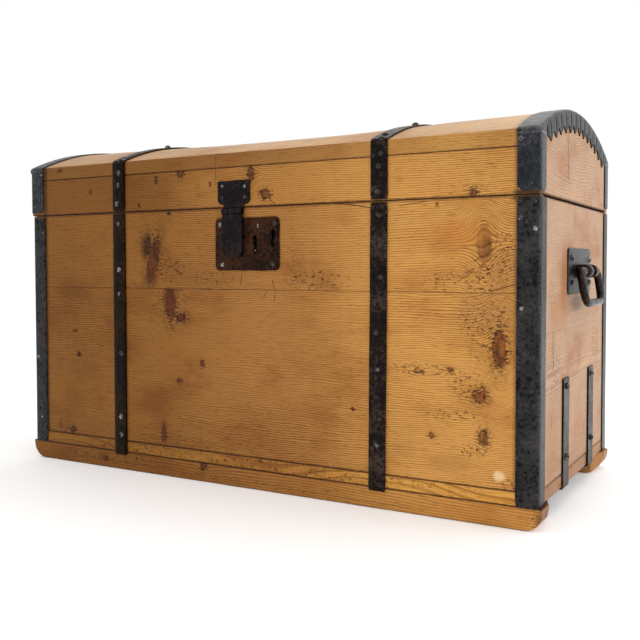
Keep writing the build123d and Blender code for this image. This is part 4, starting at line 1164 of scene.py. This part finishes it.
def makeHasp():
    look = haspLook
    x, z, half, wide = look["x"], look["z"], look["width"] / 2, look["plateWidth"] / 2
    low, top = look["plateLow"], look["plateLow"] + look["plateHeight"]
    third = (look["width"] - 2 * look["gap"]) / 3
    outline = [(-half, z + 3.5), (-half, low - 1.5), (-wide + 5.0, low), (-wide, low + 5.5),
               (-wide + 0.6, low + 20), (-wide - 0.4, top - 2.0), (-wide + 2.0, top), (-8, top - 0.4),
               (10, top + 0.3), (wide - 2.0, top), (wide, top - 2.5), (wide - 0.4, low + 18), (wide, low + 5.5),
               (wide - 5.0, low), (half, low - 1.5), (half, z + 3.5), (half - third, z + 3.5),
               (half - third, z + 5.6), (third - half, z + 5.6), (third - half, z + 3.5)]
    outline = [(x + a, b) for a, b in outline]
    pieces = [outlinePlate("hasp_plate_sheet", [outline], look["thick"], frontPlane(look), "lid", haspIron,
                           edge=0.7)]
    for number, a in enumerate((x - half, x + half - third)):
        pieces.append(knuckle(f"hasp_plate_knuckle_{number}", look, a, a + third, "lid", haspIron))
    merge("hasp_plate_iron", "hasp_plate", pieces)

    # strap of the hasp, its long edges turned up a little and its tip rounded
    back, tip, r, top = look["y"] + look["strap"] / 2, z - look["length"], look["tipRound"], z - 5.0

    def place(u, v, i, j):
        end = tip
        if abs(v) > half - r:
            end = tip + r - math.sqrt(max(0.0, r * r - (abs(v) - half + r) ** 2))
        end += 2.0 * (v / half) ** 2
        down = top + (end - top) * u
        bow = 0.9 * (v / half) ** 2 * min(1.0, u * 4)
        edge = look["wave"] * hill(down * 0.08, v) if j in (0, 12) else 0.0
        return (x + v + edge, back - bow, down), (0.0, -1.0, 0.0)

    a, b = x - half + third + look["gap"], x + half - third - look["gap"]
    front = back - look["strap"]
    neck = [(back, z - 6.0), (front, z - 6.0), (front, z - 3.4), (back, z - 3.4)]
    pieces = [sheetPiece("hasp_strap_sheet", place, spread(0.0, 1.0, 26), spread(-half, half, 12),
                         look["strap"], "hasp", haspIron, bevel=0.7, sharp=34.0),
              knuckle("hasp_strap_knuckle", look, a, b, "hasp", haspIron),
              prism("hasp_strap_neck", neck, a + 0.1, b - 0.1, "hasp", haspIron)]
    merge("hasp_strap_iron", "hasp_strap", pieces)


def makeLock():
    look = lockLook
    x, z, radius = look["keyX"], look["keyZ"], look["keyRadius"]
    opening = math.degrees(math.asin(look["keySlot"] / 2 / radius))
    keyhole = arc(x, z, radius, 90 + opening, 450 - opening, 18) + [(x + dx, z + dz) for dx, dz in keySlot]
    (x0, x1), (z0, z1) = look["staple"], look["stapleZ"]
    loops = [roundRectangle(look, look["x"], look["z"], 6, 0.6), keyhole,
             [(x0, z0), (x1, z0), (x1, z1), (x0, z1)], tear]
    outlinePlate("lock_plate_iron", loops, look["thick"], frontPlane(look), "case", lockIron, ["lock_plate"])


handleLook = {"y": 4.0, "z": 349.0, "width": 145.0, "height": 69.0, "thick": 3.0, "round": 5.0, "x": 489.5,
              "lugSpacing": 36.0, "lugWidth": 12.0, "lugRadius": 10.2, "lugSides": 32, "lugBevel": 1.2,
              "bore": 4.05, "bar": 5.6, "span": 115.0, "drop": 49.0, "bend": 20.0, "shoulder": 12.0,
              "tilt": 9.5, "collar": 9.6, "collarWidth": 4.5, "pin": 4.0}
# the collar beside each lug: places along it and its swelling there
collarShape = [(0.0, 0.84), (0.12, 0.95), (0.3, 1.0), (0.5, 1.02), (0.7, 1.0), (0.88, 0.93), (1.0, 0.80)]


def makeHandles():
    look = handleLook
    lugs = []
    for side, tag in ends:
        def toWorld(point):
            return side * (chest["halfLength"] + look["thick"] / 2 + point.z), point.x, point.y

        outline = roundRectangle(look, look["y"], look["z"], 5, 0.9)
        outlinePlate(f"handle_plate_{tag}_iron", [outline], look["thick"], toWorld, "case", handleIron,
                     [f"handle_plate_{tag}"], edge=0.8)
        lugs += [makeLug(side, lugSide) for lugSide in (-1, 1)]
        makeBail(side, tag)
    merge("handle_lugs_iron", "handle_lugs", lugs)


def makeLug(side, lugSide):
    # forged eye on a short web that runs back to the plate and widens as it meets it
    look = handleLook
    count, radius, bore, rim = look["lugSides"], look["lugRadius"], look["bore"], look["lugBevel"]
    middle, half = look["y"] + lugSide * look["lugSpacing"] / 2, look["lugWidth"] / 2
    pivot = Vector((side * look["x"], look["z"]))
    base = side * (chest["halfLength"] + look["thick"] - 0.1)
    turns = [2 * math.pi * n / count for n in range(count)]
    outline = []
    for turn in turns:
        x, z = side * radius * math.cos(turn), radius * math.sin(turn)
        if math.cos(turn) < 0:
            x = (base - pivot.x) * min(1.0, -math.cos(turn) * 1.35)
            z = math.copysign(radius * min(1.0, abs(math.sin(turn)) / 0.42), math.sin(turn))
        outline.append(Vector((pivot.x + x, pivot.y + z)) - pivot)
    loops = []
    for y, inset in ((-half + rim, 0.0), (half - rim, 0.0), (half, rim)):
        loops.append([(pivot.x + out.x * (out.length - inset) / out.length, middle + y,
                       pivot.y + out.y * (out.length - inset) / out.length) for out in outline])
    for y in (half, -half):
        loops.append([(pivot.x + side * bore * math.cos(turn), middle + y, pivot.y + bore * math.sin(turn))
                      for turn in turns])
    loops.append([(x, middle - half, z) for x, _, z in loops[2]])
    faces = [face for i in range(6) for face in bridge(count, i, (i + 1) % 6)]
    points = [p for loop in loops for p in loop]
    return finishPiece(f"lug_{side}_{lugSide}", points, faces, "case", bailIron)


def makeBail(side, tag):
    look = handleLook
    outer = look["lugSpacing"] / 2 + look["lugWidth"] / 2 + 0.35
    inner = look["lugSpacing"] / 2 - look["lugWidth"] / 2 - 2.0
    half, shoulder, bend, drop = look["span"] / 2, look["shoulder"], look["bend"], look["drop"]
    body = f"bail_{tag}"
    tilt = math.radians(look["tilt"])
    route = [(outer + 0.2, 0.0), (outer + 4.0, 0.0)]
    route += arc(half - shoulder, -shoulder, shoulder, 90, 0, 9)
    route += arc(half - bend, bend - drop, bend, 0, -90, 10)
    route += [(y, -drop) for y in (half - bend - 12, 12.0, 0.0)]
    route += [(-y, z) for y, z in reversed(route[:-1])]

    def turned(y, z):
        return side * (look["x"] - z * math.sin(tilt)), look["y"] + y, look["z"] + z * math.cos(tilt)

    def thickness(part):
        return look["bar"] * (1.02 + 0.12 * abs(part - 0.5) * 2 - 0.05 * hill(part * 9.0))

    pieces = [bar(f"bail_{tag}_bar", [turned(y, z) for y, z in route], thickness, body, bailIron)]

    def pinSize(part):
        return look["pin"] - (0.06 if round(part * 3) else 0.6)

    def collarSize(part):
        return look["collar"] * collarShape[round(part * 6)][1]

    for end in (-1, 1):
        pin = [turned(end * y, 0.0) for y in (inner, inner + 1.0, outer - 0.5, outer + 1.0)]
        pieces.append(bar(f"bail_pin_{tag}_{end}", pin, pinSize, body, bailIron, sides=20))
        ring = [turned(end * (outer + t * look["collarWidth"]), 0.0) for t, _ in collarShape]
        pieces.append(bar(f"bail_collar_{tag}_{end}", ring, collarSize, body, bailIron, sides=22))
    merge(f"bail_{tag}_iron", body, pieces)


nailLook = {
    "strap": 4.6, "small": 3.4, "large": 5.0, "sides": 10, "height": 1.8,
    "rings": ((1.0, -0.35), (1.0, 0.18), (0.80, 0.62), (0.42, 0.94)),
    "case": [(-262.0, 432.0), (-260.8, 351.7), (-261.4, 309.7), (-257.4, 206.0), (-259.1, 94.0), (-258.0, 62.6),
             (238.6, 432.0), (243.0, 341.0), (236.0, 259.6), (237.0, 206.0), (237.0, 94.0)],
    "lid": [(-260.0, 520.1), (-264.0, 466.5), (-261.0, 498.8), (243.3, 519.5), (240.0, 501.6), (238.6, 464.0)],
    "corner": [(447.8, 444.0), (467.3, 441.2), (448.0, 420.4), (468.0, 405.9), (450.0, 300.0), (456.0, 77.0),
               (464.0, 190.0)],
    "dome": [(-201.0, 3.0, 5.4, 3.2), (-90.0, 3.0, 5.4, 4.6), (27.0, 6.05, 5.4, 5.6), (125.0, 3.0, 4.4, 2.4)],
    "handle": [(-53.5, 369.0), (66.0, 366.5), (-52.5, 332.0), (65.0, 330.5)],
    "lock": [(-44.0, 424.0, 3.8), (60.5, 423.0, 3.8), (57.5, 361.0, 3.8), (-39.4, 360.0, 3.8),
             (30.0, 419.0, 1.9), (30.0, 422.5, 1.9)],
    "hasp": [(-38.0, 486.0), (4.0, 484.0), (-38.5, 467.0), (4.5, 467.0)],
}


def nailHead(points, faces, at, normal, radius, height, seed):
    # rose head: hammered facets round a small crown
    pick = random.Random(seed)
    at, normal = Vector(at), Vector(normal).normalized()
    across = normal.orthogonal().normalized()
    up = normal.cross(across)
    sides, rings = nailLook["sides"], nailLook["rings"]
    base = len(points)
    spin = pick.random() * 3.0
    for size, rise in rings:
        for n in range(sides):
            turn = spin + 2 * math.pi * n / sides
            r = radius * size * (1.0 + 0.07 * math.cos(turn * 4 + spin)) * (1.0 + 0.05 * (pick.random() - 0.5))
            h = height * (rise + 0.10 * (pick.random() - 0.5) * (rise > 0))
            points.append(tuple(at + across * (r * math.cos(turn)) + up * (r * math.sin(turn)) + normal * h))
    crown = len(points)
    points.append(tuple(at + normal * height))
    for k in range(len(rings) - 1):
        faces += [tuple(base + n for n in face) for face in bridge(sides, k, k + 1)]
    faces += [(crown - sides + n, crown - sides + (n + 1) % sides, crown) for n in range(sides)]
    faces.append(tuple(base + n for n in reversed(range(sides))))


def makeNails():
    look, face = nailLook, chest["halfDepth"]
    heads = {"case_nails": ([], []), "lid_nails": ([], []), "plate_nails": ([], [])}
    seed = 1

    def nail(group, at, normal, radius, height=look["height"], ahead=0, step=1):
        nonlocal seed
        nailHead(*heads[group + "_nails"], at, normal, radius, height, seed + ahead)
        seed += step

    for group in ("case", "lid"):
        for x, z in look[group]:
            nail(group, (x, -face - 3.0, z), (0, -1, 0), look["strap"] * rng.uniform(0.8, 1.05))
    for (xSide, _), edge in zip(ends, (chest["lidLeft"], chest["lidRight"])):
        for ySide, _ in fronts:
            y, out = ySide * (face + 2.0), (0, ySide, 0)
            for x, z in look["corner"]:
                nail("case", (xSide * x, y, z), out, look["small"] * rng.uniform(0.75, 1.0))
            nail("lid", (edge - xSide * 25.0, y, 526.0), out, look["small"] * 1.15, ahead=1, step=0)
            nail("lid", (edge - xSide * 9.0, y, 466.0), out, look["small"] * 0.8, ahead=2, step=3)
    for centre in chest["strapPlaces"]:
        nail("lid", (centre + 2.0, -face + 0.5, 541.0), (0, -0.8, 0.6), look["strap"], 3.6, ahead=7, step=0)
        for y, lift, size, height in look["dome"]:
            radius, z = chest["domeRadius"] + lift, domeZ(y, lift)
            nail("lid", (centre, y, z), (0.0, y / radius, (z - chest["domeCentre"]) / radius), size, height)
        nail("lid", (centre, face + 3.0, 483.8), (0, 1, 0), look["strap"], step=0)
        for drop in (45.0, 165.0, 285.0):
            nail("case", (centre, face + 3.0, hingeLook["z"] - drop), (0, 1, 0), look["strap"], ahead=1, step=2)
    for side, _ in ends:
        x, out = side * (chest["halfLength"] + 3.0), (side, 0, 0)
        for middle in endStrapLook["places"]:
            for z in (75.0, 180.0):
                nail("case", (x, middle, z), out, look["large"] * 1.1, 4.6)
        for y, z in look["handle"]:
            nail("plate", (x, y, z), out, look["large"], 3.8)
    for x, z, size in look["lock"]:
        nail("plate", (x, -face - 2.5, z), (0, -1, 0), size)
    for x, z in look["hasp"]:
        nail("lid", (x, -face - 2.5, z), (0, -1, 0), 3.2)
    for (node, (points, faces)), body in zip(heads.items(), ("case", "lid", "case")):
        finishPiece(node + "_heads", points, faces, body, nailIron, [node], sharp=28.0,
                    change=sinkDome if body == "lid" else None)


def dressInside():
    # lock, staple and pins keep the frame's own shape and take a metal finish
    finishes = {"lock_case": lockSteel, "lock_bolt": lockSteel, "lock_spring": lockSteel,
                "lock_key_pin": nailIron, "hasp_pin": haspIron, "hasp_staple": haspIron,
                "hinge_pins": strapIron}
    for node, finish in finishes.items():
        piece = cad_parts[node]
        for slotIn in piece.material_slots:
            slotIn.material = finish
        if not piece.material_slots:
            piece.data.materials.append(finish)


makeCase()
makeRunners()
print("case made")
makeLid()
print("lid made")
makeCornerIrons()
makeLidPlates()
makeBands()
print("corner irons and dome bands made")
makeStraps()
makeEndStraps()
print("straps and hinges made")
makeHasp()
makeLock()
makeHandles()
makeNails()
dressInside()
print("hasp, lock, handles and nails made")

stageLook = {"floor": (0.95, 0.95, 0.95), "size": 30.0, "glow": 0.17, "world": 1.0}
cameraLook = {"lens": 47.39, "sensor": 36.0, "rise": -0.034, "place": (0.7705, -1.3298, 0.3543),
              "turn": (90 - 2.056, 0.09, 29.6)}


def makeFloor():
    size = stageLook["size"] / mm
    corners = [(-size, -size, 0), (size, -size, 0), (size, size, 0), (-size, size, 0)]
    floor = link("floor", meshOf("floor", corners, [(0, 1, 2, 3)]))
    paint = Paint("pale floor")
    paint.set(Base_Color=stageLook["floor"], Roughness=0.9, Emission_Color=(1.0, 1.0, 1.0),
              Emission_Strength=stageLook["glow"])
    floor.data.materials.append(paint.material)


def makeLight(name, energy, place, aim, size):
    data = bpy.data.lights.new(name, "AREA")
    data.energy = energy
    data.size = size
    lamp = link(name, data)
    lamp.location = place
    lamp.rotation_euler = (Vector(aim) - Vector(place)).to_track_quat("-Z", "Y").to_euler()


def makeWorld():
    world = bpy.data.worlds.new("studio")
    world.use_nodes = True
    inputs = world.node_tree.nodes["Background"].inputs
    inputs["Color"].default_value = (1.0, 1.0, 1.0, 1.0)
    inputs["Strength"].default_value = stageLook["world"]
    bpy.context.scene.world = world


def makeCamera():
    look = cameraLook
    data = bpy.data.cameras.new("camera")
    data.lens = look["lens"]
    data.sensor_width = look["sensor"]
    data.shift_y = look["rise"]
    camera = link("camera", data)
    camera.location = look["place"]
    camera.rotation_euler = [math.radians(turn) for turn in look["turn"]]
    bpy.context.scene.camera = camera


makeFloor()
makeWorld()
makeLight("window right", 18.0, (2.6, 0.3, 1.3), (0.4, 0.0, 0.35), 1.8)
makeLight("top", 14.0, (0.3, 1.4, 2.4), (0.0, 0.0, 0.4), 2.0)
makeCamera()
bpy.context.scene.view_settings.view_transform = "Standard"
print("stage, light and camera made")
